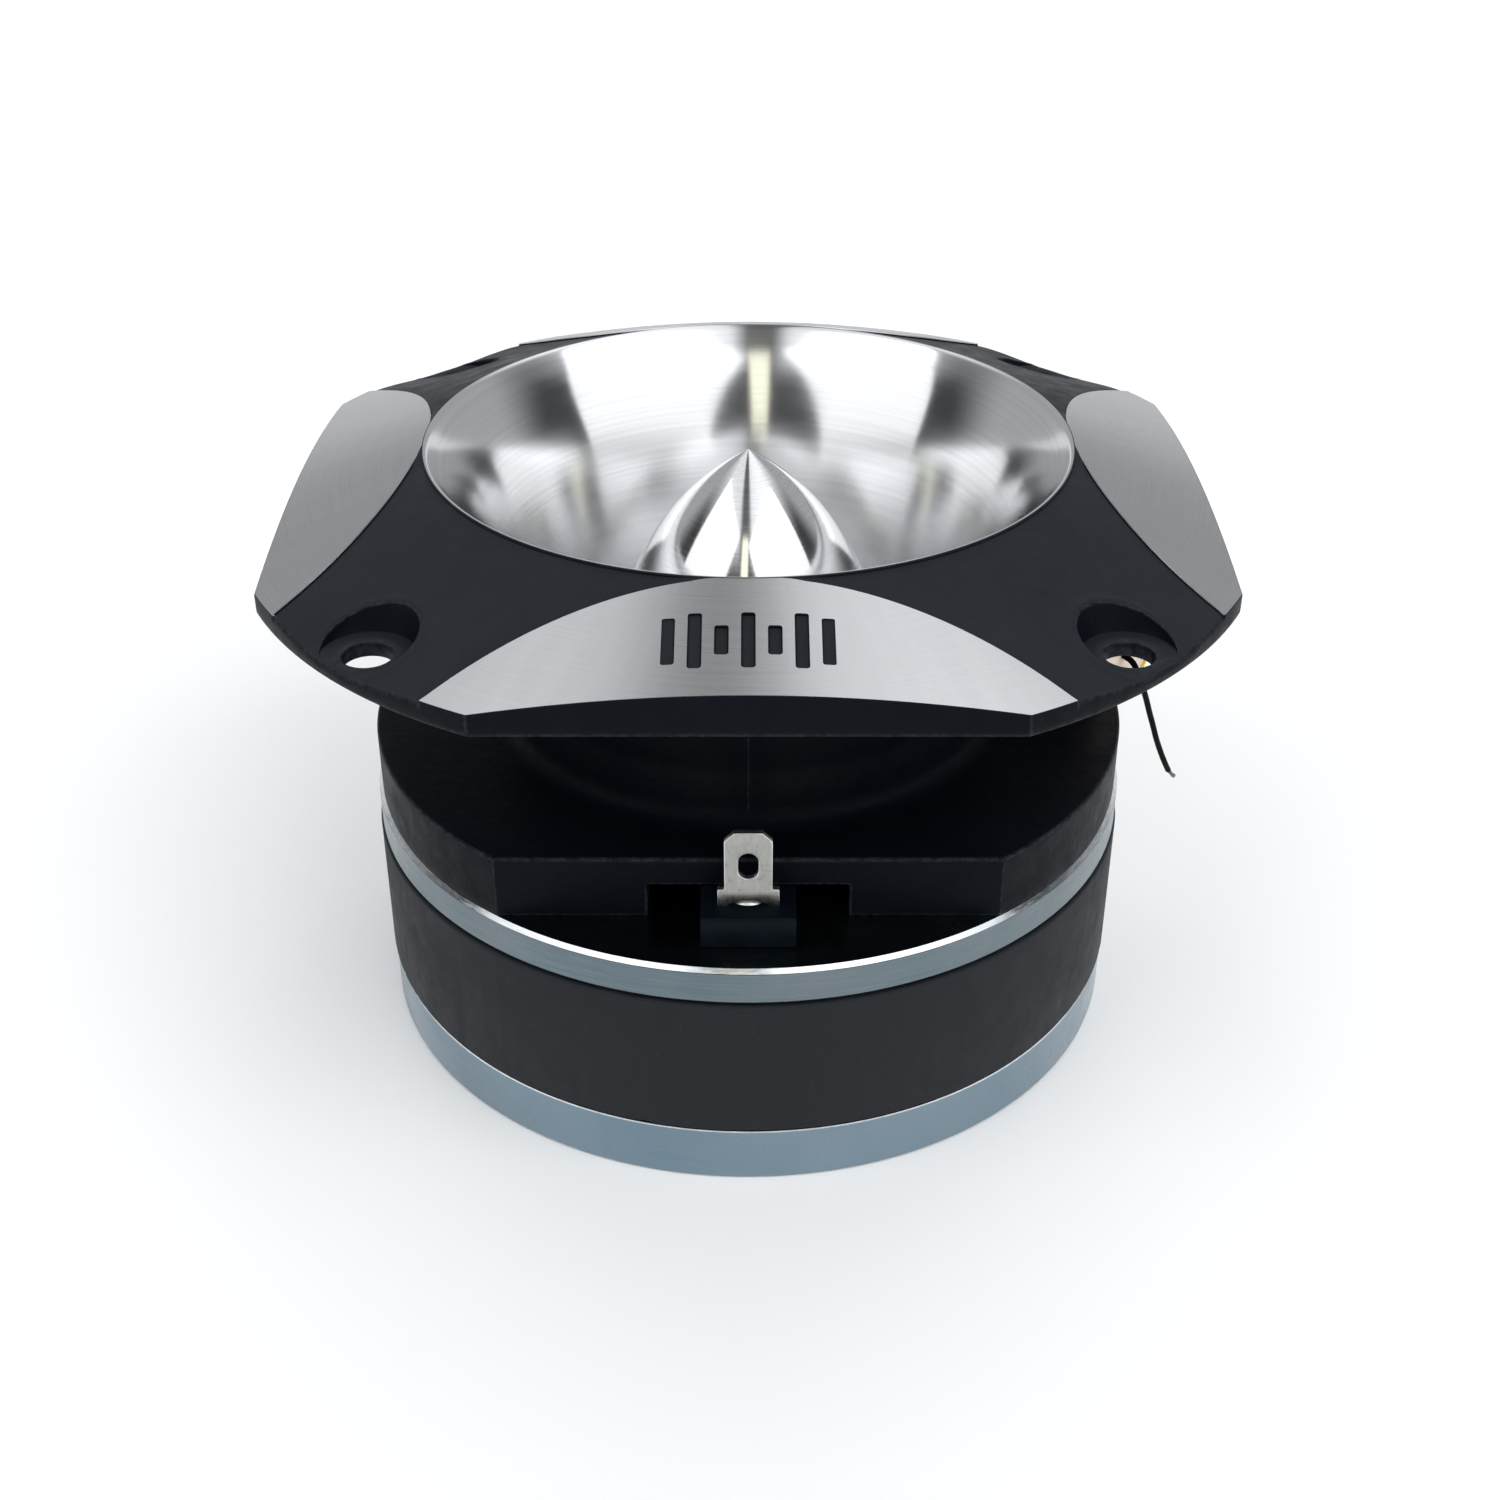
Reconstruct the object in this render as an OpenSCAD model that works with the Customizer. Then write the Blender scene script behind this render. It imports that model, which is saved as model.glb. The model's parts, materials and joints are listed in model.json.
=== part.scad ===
// Bullet-type horn super tweeter: a cast aluminium horn with a turned bullet in its throat,
// over a ferrite ring motor. Millimetres. The origin is the centre of the back plate's rear
// face, +Z points out of the horn's mouth and the front terminal faces -Y.

/* [Motor] */
// Radius of the ferrite ring magnet
magnet_r = 42.5; // [42.3:0.1:43.5]
// Radius of the hole through the magnet
magnet_bore_r = 23; // [22:0.5:25]
// Thickness of the magnet
magnet_h = 16.2; // [15:0.1:18]
// Radius of the two steel plates
plate_r = 42.3; // [42:0.05:42.4]
// Thickness of the back plate
back_plate_h = 6.5; // [6:0.1:8]
// Thickness of the top plate
top_plate_h = 4; // [3.8:0.1:5]
// Chamfer round the top plate's upper edge
plate_chamfer = 0.45; // [0.2:0.05:0.6]
// Thickness of the adhesive under the magnet
rear_glue_h = 0.2; // [0.1:0.05:0.3]
// Thickness of the adhesive over the magnet
front_glue_h = 0.4; // [0.2:0.05:0.5]

/* [Voice coil and diaphragm] */
// Inner radius of the voice coil former
coil_r = 18.8; // [18.7:0.05:18.9]
// Wall of the former
former_t = 0.15; // [0.1:0.05:0.2]
// Build of the winding on the former
winding_t = 0.45; // [0.3:0.05:0.5]
// Height of the winding
winding_h = 5; // [4:0.5:6]
// Radial clearance from pole to former
pole_clearance = 0.35; // [0.3:0.05:0.4]
// Radial clearance from winding to top plate
plate_clearance = 0.45; // [0.4:0.05:0.6]
// Thickness of the ring diaphragm
diaphragm_t = 0.2; // [0.1:0.05:0.2]
// Depth of the diaphragm's V below its clamped rims
diaphragm_v = 1.4; // [1.2:0.1:1.6]
// Height of the two rings that the diaphragm is clamped on
clamp_h = 3.3; // [3.2:0.1:3.5]

/* [Horn] */
// Radius of the mouth
mouth_r = 34; // [33.5:0.1:34]
// Height of the mouth above the back plate's rear face
mouth_z = 66.3; // [66:0.1:68]
// Radius of the flange across its round corners
flange_r = 54; // [53.9:0.1:56]
// Distance from the axis to each straight side of the flange
flange_flat = 48; // [47.5:0.1:49]
// Height from the flange's seat up to the mouth
flange_rise = 8.9; // [8.8:0.1:10]
// Fall of the turned faces for each millimetre of radius
face_slope = 0.33; // [0.32:0.01:0.34]
// Fall of the painted surface for each millimetre of radius
paint_slope = 0.361; // [0.35:0.001:0.365]
// Radius of the arc that bounds each turned face
face_arc_r = 43; // [42:0.5:44]
// Radius of the neck above the base disc
neck_r = 27; // [26.5:0.1:27.5]
// Least wall between the bowl and the outside of the bell
bell_wall = 3.5; // [3:0.1:4]
// Radius of the base disc
base_r = 41.9; // [41.5:0.1:42]
// Thickness of the base disc
base_h = 7.1; // [7:0.1:8]
// Distance from the axis to the base disc's two flats
base_flat = 33.15; // [33:0.05:34]
// Width of the notch in each flat
notch_w = 20.6; // [16:0.2:22]
// Height of the notch in each flat
notch_h = 4; // [3.9:0.1:4.2]

/* [Mounting] */
// Diameter of the circle through the mounting holes
mount_pcd = 100; // [99:0.5:101]
// Radius of each mounting hole
mount_hole_r = 2.4; // [2:0.1:2.6]
// Radius of each screw-head recess at its floor
recess_r = 4.75; // [4.5:0.05:5]
// Thickness of metal left under a screw head
recess_floor = 1.5; // [1.2:0.1:1.8]

/* [Bullet] */
// Height from the bullet's tip up to the mouth
tip_below_mouth = 1.8; // [1:0.1:3]
// Radius that the bullet's curve tends to
bullet_r = 17.5; // [17:0.1:17.6]
// Distance over which the bullet's curve fills out
bullet_rise = 11.5; // [11:0.1:12]

/* [Terminals] */
// Width of each terminal tongue
tongue_w = 9.6; // [9:0.1:11]
// Distance from the axis to the end of each tongue
tongue_end = 38.5; // [38.2:0.1:39]
// Width of the push-on tab
tab_w = 4.8; // [4.6:0.1:4.9]
// Thickness of the tab
tab_t = 0.8; // [0.6:0.1:0.8]
// Width of the tab's shoulders
shoulder_w = 6.2; // [6:0.1:6.6]
// Height of the tab above its tongue
tab_h = 8.65; // [8:0.05:9]

/* [Capacitor] */
// Radius of the series capacitor
cap_r = 4.6; // [4:0.1:4.7]
// Length of the series capacitor
cap_l = 26; // [24:1:27]
// Radius of the bare lead soldered to the rear tab
bare_lead_r = 0.4; // [0.3:0.05:0.5]
// Radius of the sleeved free lead
free_lead_r = 0.35; // [0.3:0.05:0.4]

/* [Hidden] */
$fn = 96;
eps = 0.01;

// Heights of the motor's faces
magnet_z = back_plate_h + rear_glue_h;
magnet_top = magnet_z + magnet_h;
top_plate_z = magnet_top + front_glue_h;
deck_z = top_plate_z + top_plate_h;
glue_setback = 0.3;

// The magnetic gap and what hangs in it
pole_r = coil_r - pole_clearance;
former_r = coil_r + former_t;
winding_r = former_r + winding_t;
gap_r = winding_r + plate_clearance;
gap_middle = top_plate_z + top_plate_h / 2;
clamp_z = deck_z + clamp_h;
seat_top = clamp_z + diaphragm_t;
v_bottom = clamp_z - diaphragm_v;
former_tail = 0.2;

// Rings that clamp the diaphragm
inner_clamp_r = 16;
inner_rim_r = 12;
v_inner_r = 16.6;
v_outer_r = 21.6;
frame_bore_r = 21.8;
outer_rim_r = 25.5;
frame_r = 26;
frame_clearance = 0.2;

// Central bolt, its washer and its hole
bolt_r = 2.45;
bolt_hole_r = 2.75;
bolt_thread_r = 2.5;
bolt_top = 48;
thread_top = 50;
bolt_head_r = 4.7;
bolt_head_z = 0.5;
bolt_head_h = 3;
washer_r = 5.8;
washer_h = 1;
bolt_pocket_r = 6.2;
driver_w = 1.1;
driver_l = 5.2;
driver_h = 1.6;
plate_left = bolt_head_z + bolt_head_h + washer_h;

// Screws that hold the horn to the top plate, hidden by the magnet
horn_screw_circle_r = 34;
screw_r = 1.9;
screw_head_r = 3.7;
screw_head_h = 2;
screw_clearance = 0.1;
screw_top = deck_z + 4.6;
screw_hole_top = deck_z + 5.2;

// Horn
bullet_foot = seat_top;
tip_z = mouth_z - tip_below_mouth;
throat_r = v_outer_r;
seat_z = mouth_z - flange_rise;
seat_inner_r = 44.5;
core_z = seat_z + 1.5;
core_slope = 0.15;
lip_w = 0.3;
lip_drop = 0.2;
face_arc_apex = 34.1;
face_arc_y = face_arc_apex + face_arc_r;
base_top = deck_z + base_h;
frame_pocket_r = frame_r + frame_clearance;
notch_y = 24;
recess_z = seat_z + recess_floor;
recess_draft = 0.3;
bowl_steps = 24;
bell_steps = 8;
bullet_steps = 28;

// Emblem on the front face: plain bars like a level meter's
bar_count = 7;
bar_w = 1.3;
bar_pitch = 2.4;
bar_depth = 0.35;
bar_short = 2.4;
bar_long = 6.4;
bar_middle_r = 41.6;

// Terminals
tongue_top = deck_z + 3.55;
foot_z = tongue_top - tab_t;
tab_y = 36.3;
foot_end = 30.9;
foot_clearance = 0.05;
shoulder_top = tongue_top + 1.95;
tab_corner = 0.95;
slot_w = 1.8;
slot_h = 2.8;
slot_z = tongue_top + 4.75;
rivet_y = 33.3;
rivet_r = 0.95;
rivet_head_r = 1.9;
rivet_head_h = 0.35;
rivet_tail_r = 1.6;
rivet_tail_z = deck_z + 0.5;
rivet_tail_top = deck_z + 1.1;
ribbon_w = 1;
ribbon_t = 0.2;
ribbon_start = 32.1;
ribbon_bend = 20.9;
ribbon_drop = 1.45;
ribbon_end = former_r + 0.02;
groove_clearance = 0.1;

// Capacitor: it lies on the base disc beside the neck, along a 3-4-5 direction
cap_gap = 0.05;
cap_end = [42.6, 0.5, base_top + cap_r + cap_gap];
cap_dir = [0.6, -0.8, 0];
cap_angle = atan2(cap_dir[1], cap_dir[0]);
cap_start = cap_end - cap_l * cap_dir;
cap_wrap = 0.3;
fill_h = 1;
fill_recess = 0.2;

// Route of the bare lead, from the capacitor to the rear tab's slot
solder_route = [
    cap_start + (fill_recess + eps) * cap_dir, [25.5, 23.3, 39.1], [23.5, 26, 39],
    [20.5, 29.6, 38.9], [16.5, 33.4, 38.6], [12, 36.4, 38.1], [8, 38.2, 37.5],
    [4.5, 39, 36.8], [2, 38.9, 36.2], [0.6, 38.2, 35.8], [0.1, 37.2, 35.6],
    [0, 36, 35.5], [0, 34.7, 35.4]
];
// Route of the free lead, from the capacitor to its bare end
free_route = [
    cap_end - (fill_recess - eps) * cap_dir, [43, -0.1, 39.1], [43.4, -0.7, 38.9],
    [43.7, -1.1, 38.4], [43.9, -1.2, 37.7], [44.3, -0.8, 36.8], [44.9, 0.1, 35.5],
    [45.5, 1.2, 33.9], [46.3, 2.7, 31.7], [47.1, 4.3, 29.3], [48.1, 6, 26.6],
    [49, 7.8, 23.9], [50.1, 9.6, 21.1], [51.2, 11.4, 18.4], [52.3, 13.2, 16],
    [53, 14.2, 14.8], [53.5, 14.8, 14.1]
];
tube_sides = 8;

// Radius of the bullet at height z
function bullet_at(z) = bullet_r * (1 - exp(-(tip_z - z) / bullet_rise));
// Open area of the horn at the throat and at the mouth
throat_area = PI * (pow(throat_r, 2) - pow(bullet_at(seat_top), 2));
mouth_area = PI * pow(mouth_r, 2);
flare = ln(mouth_area / throat_area) / (mouth_z - seat_top);
// Radius of the bowl at height z: the open area round the bullet grows exponentially
function bowl_at(z) = sqrt(throat_area * exp(flare * (z - seat_top)) / PI
    + (z < tip_z ? pow(bullet_at(z), 2) : 0));
// Radius of the outside of the bell at height z
function bell_at(z) = max(neck_r, bowl_at(z) + bell_wall);
// Height of the turned faces and of the painted surface at radius r
function face_at(r) = mouth_z - face_slope * (r - mouth_r);
function paint_at(r) = mouth_z - lip_w * face_slope - lip_drop - paint_slope * (r - mouth_r - lip_w);

// A ring or a disc between two heights
module ring(outer, inner, z0, z1) {
    translate([0, 0, z0]) difference() {
        cylinder(r = outer, h = z1 - z0);
        if (inner > 0) translate([0, 0, -1]) cylinder(r = inner, h = z1 - z0 + 2);
    }
}

// Copies at the four corners of the flange
module at_corners(radius) {
    for (a = [45:90:315]) rotate([0, 0, a]) translate([radius, 0, 0]) children();
}

// Copies for the front and the rear terminal
module front_and_rear() {
    for (a = [0, 180]) rotate([0, 0, a]) children();
}

// A box centred on the YZ plane, between two distances in front of the axis and two heights
module front_box(w, y_near, y_far, z0, z1) {
    translate([-w / 2, -y_far, z0]) cube([w, y_far - y_near, z1 - z0]);
}

function unit(v) = v / norm(v);
function heading(path, i) = unit(path[min(i + 1, len(path) - 1)] - path[max(i - 1, 0)]);
function side_of(d) = unit(cross(d, abs(d[2]) > 0.9 ? [0, 1, 0] : [0, 0, 1]));
// A side vector that is carried along the path, so that the tube doesn't twist
function carried(path, i) = i == 0 ? side_of(heading(path, 0))
    : let (s = carried(path, i - 1), d = heading(path, i)) unit(s - (s * d) * d);

// A round tube swept along a path, with closed ends
module tube(path, r) {
    n = tube_sides;
    count = len(path);
    points = [for (i = [0:count - 1])
        let (s = carried(path, i), t = cross(heading(path, i), s))
        for (k = [0:n - 1]) path[i] + r * (cos(360 * k / n) * s + sin(360 * k / n) * t)];
    sides = [for (i = [0:count - 2], k = [0:n - 1])
        [i * n + k, i * n + (k + 1) % n, (i + 1) * n + (k + 1) % n, (i + 1) * n + k]];
    ends = [[for (k = [n - 1:-1:0]) k], [for (k = [0:n - 1]) (count - 1) * n + k]];
    polyhedron(points = points, faces = concat(sides, ends));
}

module back_plate() {
    color([0.62, 0.66, 0.68]) difference() {
        ring(plate_r, bolt_hole_r, 0, back_plate_h);
        translate([0, 0, -1]) cylinder(r = bolt_pocket_r, h = plate_left + 1);
    }
}

module rear_glue_ring() {
    color([0.05, 0.05, 0.05])
        ring(plate_r - glue_setback, magnet_bore_r, back_plate_h, magnet_z);
}

module magnet() {
    color([0.2, 0.2, 0.22]) ring(magnet_r, magnet_bore_r, magnet_z, magnet_top);
}

module front_glue_ring() {
    color([0.05, 0.05, 0.05])
        ring(plate_r - glue_setback, magnet_bore_r, magnet_top, top_plate_z);
}

module top_plate() {
    color([0.55, 0.6, 0.63]) difference() {
        rotate_extrude() polygon([
            [gap_r, top_plate_z], [plate_r, top_plate_z], [plate_r, deck_z - plate_chamfer],
            [plate_r - plate_chamfer, deck_z], [gap_r, deck_z]
        ]);
        at_corners(horn_screw_circle_r) screw_space(top_plate_z);
    }
}

// The hole for one horn screw, countersunk from below
module screw_space(z0) {
    c = screw_clearance;
    translate([0, 0, z0 - 1]) cylinder(r = screw_r + c, h = top_plate_h + 2);
    translate([0, 0, z0 - eps])
        cylinder(r1 = screw_head_r + c, r2 = screw_r + c, h = screw_head_h + eps);
}

module pole_piece() {
    color([0.5, 0.52, 0.54]) ring(pole_r, bolt_hole_r, back_plate_h, deck_z);
}

module inner_clamp_ring() {
    color([0.12, 0.12, 0.13]) ring(inner_clamp_r, bolt_hole_r, deck_z, clamp_z);
}

// The plastic ring that carries the diaphragm's outer rim, with a tongue for each terminal
module diaphragm_frame() {
    color([0.08, 0.08, 0.09]) difference() {
        union() {
            ring(frame_r, frame_bore_r, deck_z, clamp_z);
            front_and_rear() {
                front_box(tongue_w, frame_r - 1, tongue_end, deck_z, clamp_z);
                front_box(tongue_w, frame_pocket_r + 0.6, tongue_end, deck_z, tongue_top);
            }
        }
        front_and_rear() {
            front_box(
                shoulder_w + 2 * foot_clearance, foot_end - foot_clearance,
                tab_y + foot_clearance, foot_z, tongue_top + 1);
            front_box(
                ribbon_w + 2 * groove_clearance, coil_r, ribbon_start + groove_clearance,
                foot_z - ribbon_t, tongue_top + 1);
            translate([0, -rivet_y, deck_z - 1]) {
                cylinder(r = rivet_r + foot_clearance, h = clamp_h + 2);
                cylinder(r = rivet_tail_r + foot_clearance, h = rivet_tail_top - deck_z + 1);
            }
        }
    }
}

// The annular diaphragm: two flat rims and a V whose bottom the coil hangs from
module diaphragm() {
    t = diaphragm_t;
    foot_half = 0.17;
    v_r = coil_r + former_t / 2;
    color([0.78, 0.78, 0.8]) rotate_extrude() polygon([
        [inner_rim_r, clamp_z], [v_inner_r, clamp_z], [v_r - foot_half, v_bottom],
        [v_r + foot_half, v_bottom], [v_outer_r, clamp_z], [outer_rim_r, clamp_z],
        [outer_rim_r, clamp_z + t], [v_outer_r - t / 4, clamp_z + t],
        [v_r + foot_half - t / 4, v_bottom + t], [v_r - foot_half + t / 4, v_bottom + t],
        [v_inner_r + t / 4, clamp_z + t], [inner_rim_r, clamp_z + t]
    ]);
}

module voice_coil_former() {
    color([0.75, 0.5, 0.2])
        ring(former_r, coil_r, gap_middle - winding_h / 2 - former_tail, v_bottom);
}

module voice_coil_winding() {
    color([0.72, 0.38, 0.18])
        ring(winding_r, former_r, gap_middle - winding_h / 2, gap_middle + winding_h / 2);
}

// The flat lead-out from the coil to a tab
module coil_lead() {
    z = foot_z - ribbon_t;
    color([0.75, 0.42, 0.22]) rotate([90, 0, -90]) translate([0, 0, -ribbon_w / 2])
        linear_extrude(ribbon_w) polygon([
            [ribbon_start, z], [ribbon_start, foot_z], [ribbon_bend, foot_z],
            [ribbon_end, foot_z - ribbon_drop], [ribbon_end, z - ribbon_drop],
            [ribbon_bend, z]
        ]);
}

module coil_lead_front() {
    coil_lead();
}

module coil_lead_rear() {
    rotate([0, 0, 180]) coil_lead();
}

// The horn's blank: bowl, turned front, seat, cored underside, bell and base disc
module horn_section() {
    bowl = [for (i = [0:bowl_steps])
        let (z = seat_top + (mouth_z - seat_top) * i / bowl_steps)
        [i == bowl_steps ? mouth_r : bowl_at(z), z]];
    core_r = bell_at(seat_z) + 2;
    under = [
        [flange_r, face_at(flange_r)], [flange_r, seat_z], [seat_inner_r, seat_z],
        [seat_inner_r, core_z], [core_r, core_z + core_slope * (seat_inner_r - core_r)]
    ];
    bell = [for (i = [0:bell_steps])
        let (z = seat_z + (base_top - seat_z) * i / bell_steps)
        [i == bell_steps ? neck_r : bell_at(z), z]];
    base = [
        [base_r, base_top], [base_r, deck_z], [frame_pocket_r, deck_z],
        [frame_pocket_r, seat_top]
    ];
    polygon(concat(bowl, under, bell, base));
}

// The four lower painted areas at the corners, which leave the turned faces between them
module painted_corners() {
    inner = mouth_r + lip_w;
    outer = flange_r + 6;
    difference() {
        rotate_extrude() polygon([
            [inner, paint_at(inner)], [outer, paint_at(outer)],
            [outer, mouth_z + 2], [inner, mouth_z + 2]
        ]);
        for (a = [0:90:270]) rotate([0, 0, a]) translate([0, -face_arc_y, seat_z - 5])
            cylinder(r = face_arc_r, h = flange_rise + 10);
    }
}

// The bars cut into the front face
module emblem() {
    intersection() {
        rotate_extrude() polygon([
            [mouth_r, face_at(mouth_r) - bar_depth], [flange_r, face_at(flange_r) - bar_depth],
            [flange_r, mouth_z + 1], [mouth_r, mouth_z + 1]
        ]);
        for (i = [0:bar_count - 1])
            let (side = i - (bar_count - 1) / 2, l = i % 2 == 0 ? bar_short + abs(side) : bar_long)
            translate([side * bar_pitch - bar_w / 2, -bar_middle_r - l / 2, seat_z])
                cube([bar_w, l, flange_rise + 2]);
    }
}

// One mounting hole with its drafted screw-head recess
module mount_hole() {
    up = flange_rise;
    translate([0, 0, seat_z - 1]) cylinder(r = mount_hole_r, h = up);
    translate([0, 0, recess_z])
        cylinder(r1 = recess_r, r2 = recess_r + recess_draft * up, h = up);
}

module horn_casting() {
    side = 2 * flange_flat;
    color([0.13, 0.14, 0.16]) difference() {
        intersection() {
            rotate_extrude() horn_section();
            translate([-side / 2, -side / 2, 0]) cube([side, side, mouth_z + 5]);
        }
        painted_corners();
        emblem();
        at_corners(mount_pcd / 2) mount_hole();
        at_corners(horn_screw_circle_r) translate([0, 0, deck_z - 1])
            cylinder(r = screw_r + screw_clearance, h = screw_hole_top - deck_z + 1);
        front_and_rear() {
            front_box(2 * flange_r, base_flat, flange_r, deck_z - 1, base_top + 1);
            front_box(notch_w, notch_y, base_flat + 1, deck_z - 1, deck_z + notch_h);
        }
    }
}

// Four countersunk screws, driven up through the top plate before the magnet is glued on
module horn_screws() {
    recess = 0.2;
    color([0.6, 0.6, 0.62]) at_corners(horn_screw_circle_r) difference() {
        union() {
            translate([0, 0, top_plate_z + recess])
                cylinder(r1 = screw_head_r - recess, r2 = screw_r, h = screw_head_h - recess);
            translate([0, 0, top_plate_z + recess]) cylinder(
                r = screw_r, h = screw_top - top_plate_z - recess);
        }
        translate([0, 0, top_plate_z]) cylinder(r = 1.1, h = 1.4, $fn = 6);
    }
}

module bullet() {
    curve = [for (i = [0:bullet_steps])
        let (z = bullet_foot + (tip_z - bullet_foot) * (1 - pow(1 - i / bullet_steps, 1.3)))
        [i == bullet_steps ? 0 : min(bullet_at(z), v_inner_r - 0.1), z]];
    color([0.85, 0.86, 0.87]) difference() {
        rotate_extrude() polygon(concat([[0, bullet_foot]], curve));
        translate([0, 0, bullet_foot - 1]) cylinder(r = bolt_thread_r, h = thread_top - bullet_foot + 1);
    }
}

module bullet_bolt() {
    head_top = bolt_head_z + bolt_head_h;
    color([0.6, 0.6, 0.62]) difference() {
        union() {
            translate([0, 0, bolt_head_z]) cylinder(r = bolt_head_r, h = bolt_head_h);
            translate([0, 0, head_top - eps]) cylinder(r = bolt_r, h = bolt_top - head_top);
        }
        for (a = [0, 90]) rotate([0, 0, a])
            translate([-driver_l / 2, -driver_w / 2, bolt_head_z - 1])
            cube([driver_l, driver_w, driver_h + 1]);
    }
}

module bolt_washer() {
    z = bolt_head_z + bolt_head_h;
    color([0.7, 0.7, 0.7]) ring(washer_r, bolt_r + 0.1, z, z + washer_h);
}

// A push-on tab: blade, shoulders and a foot let into its tongue
module tab() {
    top = tongue_top + tab_h;
    c = tab_corner;
    color([0.8, 0.8, 0.78]) difference() {
        union() {
            translate([0, -tab_y + tab_t, 0]) rotate([90, 0, 0]) linear_extrude(tab_t) polygon([
                [-shoulder_w / 2, foot_z], [shoulder_w / 2, foot_z],
                [shoulder_w / 2, shoulder_top], [tab_w / 2, shoulder_top],
                [tab_w / 2, top - c], [tab_w / 2 - c, top], [-tab_w / 2 + c, top],
                [-tab_w / 2, top - c], [-tab_w / 2, shoulder_top],
                [-shoulder_w / 2, shoulder_top]
            ]);
            front_box(shoulder_w, foot_end, tab_y - tab_t + eps, foot_z, tongue_top);
        }
        translate([0, -tab_y - 1, slot_z]) rotate([-90, 0, 0]) {
            for (s = [-1, 1]) translate([0, s * (slot_h - slot_w) / 2, 0])
                cylinder(r = slot_w / 2, h = tab_t + 2);
            translate([-slot_w / 2, -(slot_h - slot_w) / 2, 0])
                cube([slot_w, slot_h - slot_w, tab_t + 2]);
        }
        translate([0, -rivet_y, foot_z - 1]) cylinder(r = rivet_r + foot_clearance, h = tab_t + 2);
    }
}

module front_tab() {
    tab();
}

module rear_tab() {
    rotate([0, 0, 180]) tab();
}

module tab_rivets() {
    color([0.75, 0.75, 0.72]) front_and_rear() translate([0, -rivet_y, 0]) {
        ring(rivet_head_r, 0, tongue_top, tongue_top + rivet_head_h);
        ring(rivet_r, 0, rivet_tail_z, tongue_top + eps);
        ring(rivet_tail_r, 0, rivet_tail_z, rivet_tail_top);
    }
}

// Places a part that is drawn along +Z from the capacitor's soldered end
module on_capacitor() {
    translate(cap_start) rotate([0, 90, cap_angle]) children();
}

module capacitor_body() {
    pocket = fill_h + fill_recess;
    color([0.93, 0.78, 0.1]) on_capacitor() difference() {
        cylinder(r = cap_r, h = cap_l);
        translate([0, 0, -1]) cylinder(r = cap_r - cap_wrap, h = pocket + 1);
        translate([0, 0, cap_l - pocket]) cylinder(r = cap_r - cap_wrap, h = pocket + 1);
    }
}

module capacitor_end_fill() {
    r = cap_r - cap_wrap - 2 * eps;
    color([0.85, 0.75, 0.7]) on_capacitor() {
        ring(r, 0, fill_recess, fill_recess + fill_h);
        ring(r, 0, cap_l - fill_recess - fill_h, cap_l - fill_recess);
    }
}

module capacitor_solder_lead() {
    color([0.75, 0.75, 0.73]) tube(solder_route, bare_lead_r);
}

module solder_joint() {
    color([0.8, 0.8, 0.8]) translate([0, tab_y + 0.1, slot_z])
        scale([1, 0.8, 1]) sphere(r = 1.5, $fn = 24);
}

module capacitor_free_lead() {
    color([0.05, 0.05, 0.05]) tube(free_route, free_lead_r);
}

back_plate();
rear_glue_ring();
magnet();
front_glue_ring();
top_plate();
pole_piece();
inner_clamp_ring();
diaphragm_frame();
diaphragm();
voice_coil_former();
voice_coil_winding();
coil_lead_front();
coil_lead_rear();
horn_casting();
horn_screws();
bullet();
bullet_bolt();
bolt_washer();
front_tab();
rear_tab();
tab_rivets();
capacitor_body();
capacitor_end_fill();
capacitor_solder_lead();
solder_joint();
capacitor_free_lead();
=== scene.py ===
"""A bullet super tweeter: horn casting, bullet, ring magnet motor, terminals and series capacitor.

Shapes are worked out in millimetres, in the CAD model's frame, and made in metres.
"""

import json
from contextlib import contextmanager
from math import acos, atan2, cos, degrees, exp, hypot, log, pi, radians, sin, sqrt, tau

import bmesh
import bpy
import numpy as np
from mathutils import Matrix, Vector, noise


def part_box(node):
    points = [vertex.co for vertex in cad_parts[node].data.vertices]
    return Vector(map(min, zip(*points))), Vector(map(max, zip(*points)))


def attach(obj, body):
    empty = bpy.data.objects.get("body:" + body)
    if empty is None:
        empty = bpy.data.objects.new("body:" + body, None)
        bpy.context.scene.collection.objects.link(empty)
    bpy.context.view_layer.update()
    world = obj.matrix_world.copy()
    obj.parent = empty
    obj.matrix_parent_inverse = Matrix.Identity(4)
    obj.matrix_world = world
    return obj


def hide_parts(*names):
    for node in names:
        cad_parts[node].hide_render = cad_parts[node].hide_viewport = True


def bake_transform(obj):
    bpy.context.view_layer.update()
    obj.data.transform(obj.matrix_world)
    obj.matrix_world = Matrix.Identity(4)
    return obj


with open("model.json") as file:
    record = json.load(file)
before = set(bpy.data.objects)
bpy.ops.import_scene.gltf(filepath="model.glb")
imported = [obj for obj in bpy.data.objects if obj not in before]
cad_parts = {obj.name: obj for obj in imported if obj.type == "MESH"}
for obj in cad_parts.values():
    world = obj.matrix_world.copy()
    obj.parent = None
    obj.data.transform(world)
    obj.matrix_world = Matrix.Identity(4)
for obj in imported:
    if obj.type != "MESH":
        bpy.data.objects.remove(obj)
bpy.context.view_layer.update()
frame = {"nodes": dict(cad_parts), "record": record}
MM = 0.001
AXIS_R = 0.01  # inner radius of a closed profile that reaches the axis


# ---- sizes, in millimetres


def box_mm(node):
    """The lowest and highest corner of a CAD node, in millimetres."""
    low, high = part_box(node)
    return np.array(low) / MM, np.array(high) / MM


def top_of(node):
    return box_mm(node)[1][2]


def bottom_of(node):
    return box_mm(node)[0][2]


def radius_of(node):
    """Half of a node's size along Y."""
    return box_mm(node)[1][1]


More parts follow.
